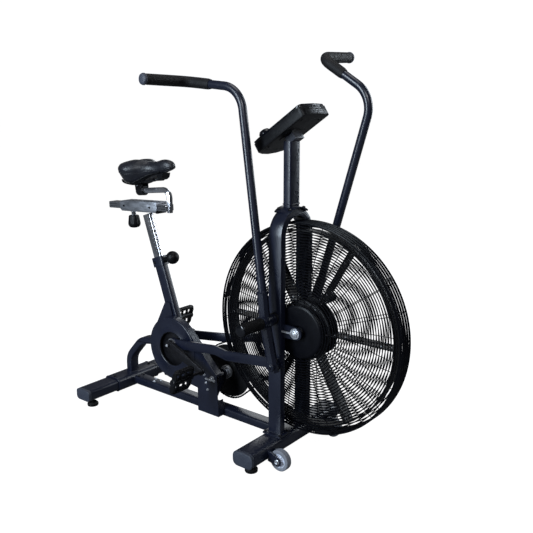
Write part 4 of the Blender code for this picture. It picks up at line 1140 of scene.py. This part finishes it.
def add_saddle_pan():
    """The shell under the pad, its rails and the socket that holds their front ends."""
    points = []
    for k in range(PAN_ROWS):
        t = -0.86 + 1.36 * k / (PAN_ROWS - 1)
        wide, middle, _, bottom = saddle_section(t)
        for j in range(PAN_COLUMNS):
            b = -1 + j / 6
            lift = -0.0015 + 0.01 * abs(b) ** 2.4
            points.append(Vector((SADDLE_X + 0.128 * t, wide * 0.7 * b, middle - bottom + lift)))
    faces = []
    for i in range(0, (PAN_ROWS - 1) * PAN_COLUMNS, PAN_COLUMNS):
        for j in range(i, i + PAN_COLUMNS - 1):
            faces.append([j, j + 1, j + PAN_COLUMNS + 1, j + PAN_COLUMNS])
    shell = Shape().add(points, faces).made("saddle_pan", "seat_fore_aft", PLASTIC, angle=60)
    thick = shell.modifiers.new("thick", "SOLIDIFY")
    thick.thickness = 0.0035
    thick.offset = 0
    rails = Shape()
    for side in (-1, 1):
        path = [(-0.35, 0.011, 0.894), (-0.378, 0.021, 0.8765), (-0.492, 0.023, 0.8645)]
        path.append((-0.517, 0.03, 0.872))
        rails.tube(bent([(x, side * y, z) for x, y, z in path], (0.014, 0.012), 8), 0.0036, 16)
    rails.made("saddle_rails", "seat_fore_aft", OXIDE, angle=80)
    outline = [(-0.372, 0.902), (-0.366, 0.884), (-0.356, 0.879), (-0.343, 0.888), (-0.338, 0.906)]
    socket = Shape().prism(outline, 0.04, (0, 0, 0), X, Z)
    socket.made("saddle_rail_socket", "seat_fore_aft", PLASTIC, bevel=0.002)


def add_clamp():
    """The saddle's clamp: a barrel round the bar, two serrated cheeks and a through bolt."""
    lead = Vector((0.1655, 0, 0.016)).normalized()
    up = lead.cross(Y)
    barrel = mirrored([(0.0109, -0.018), (0.0168, -0.018), (0.018, -0.0165)])
    clamp = Shape().turned(barrel, CLAMP, lead, 40, True)
    cheek = [(-0.016, 0.004), (0.016, 0.004), (0.018, 0.03), (0.01, 0.037), (-0.01, 0.037), (-0.018, 0.03)]
    disc = [(0, 0), (0.013, 0), (0.013, 0.003), (0.0115, 0.0045), (0, 0.0045)]
    for side in (-1, 1):
        clamp.prism(cheek, 0.007, CLAMP + Y * side * 0.0155, lead, up)
        clamp.turned(disc, CLAMP + Y * side * 0.019 + up * 0.0285, Y * side, 28)
        for out in around(16, lead, up):
            tooth = CLAMP + Y * side * 0.0203 + up * 0.0285 + out * 0.013
            clamp.box((0.0032, 0.0013, 0.003), tooth, out, Y)
        clamp.box((0.036, 0.01, 0.0045), CLAMP + Y * side * 0.0235 + up * 0.0405, lead, Y)
    clamp.made("saddle_clamp_body", "seat_fore_aft", OXIDE, ["saddle_clamp"], bevel=0.0007)
    nuts = Shape()
    for side in (-1, 1):
        nuts.bolt(CLAMP + Y * side * 0.0235 + up * 0.0285, Y * side, 0.013, 0.006)
    nuts.made("saddle_clamp_nuts", "seat_fore_aft", ZINC)


dress(NAVY, 0, "main_frame front_fork console_mast rear_stabilizer front_stabilizer drive_guard")
dress(NAVY, 0, "left_link_rod right_link_rod left_arm_base right_arm_base")
dress(OXIDE, 0.0004, "chainring jackshaft_small_sprocket fan_sprocket")
dress(OXIDE, 0.0006, "left_pivot_axle right_pivot_axle")
dress(OXIDE, 0.0008, "crankshaft")
dress(OXIDE, 0.0012, "left_crank_arm right_crank_arm")
dress(FAN_BLACK, 0.0004, "jackshaft_large_sprocket")
dress(FAN_BLACK, 0.0006, "fan_wheel")
dress(ZINC, 0.0005, "fan_axle")
dress(CHROME, 0, "seat_slider")
dress(CHROME, 0.0004, "jackshaft")
dress(CHROME, 0.0008, "seat_post")
dress(BRUSHED, 0.0014, "slider_housing")
dress(RUBBER, 0, "front_left_foot front_right_foot rear_left_foot rear_right_foot")
dress(CAP, 0.0012, "front_left_end_cap front_right_end_cap rear_left_end_cap rear_right_end_cap", 30)
dress(CAP, 0.0008, "start_button mode_button")
dress(PLASTIC, 0.0015, "console_housing", 30)
dress(GLOSS, 0.0008, "console_face", 30)
dress(SCREEN, 0.0005, "display_lens")
add_camera()
add_stage()
add_guards()
add_rim()
add_fan()
add_drive()
add_pedals()
add_arms()
add_frame()
add_wheels()
add_console()
add_seat_tube()
add_slider()
add_saddle()
add_clamp()
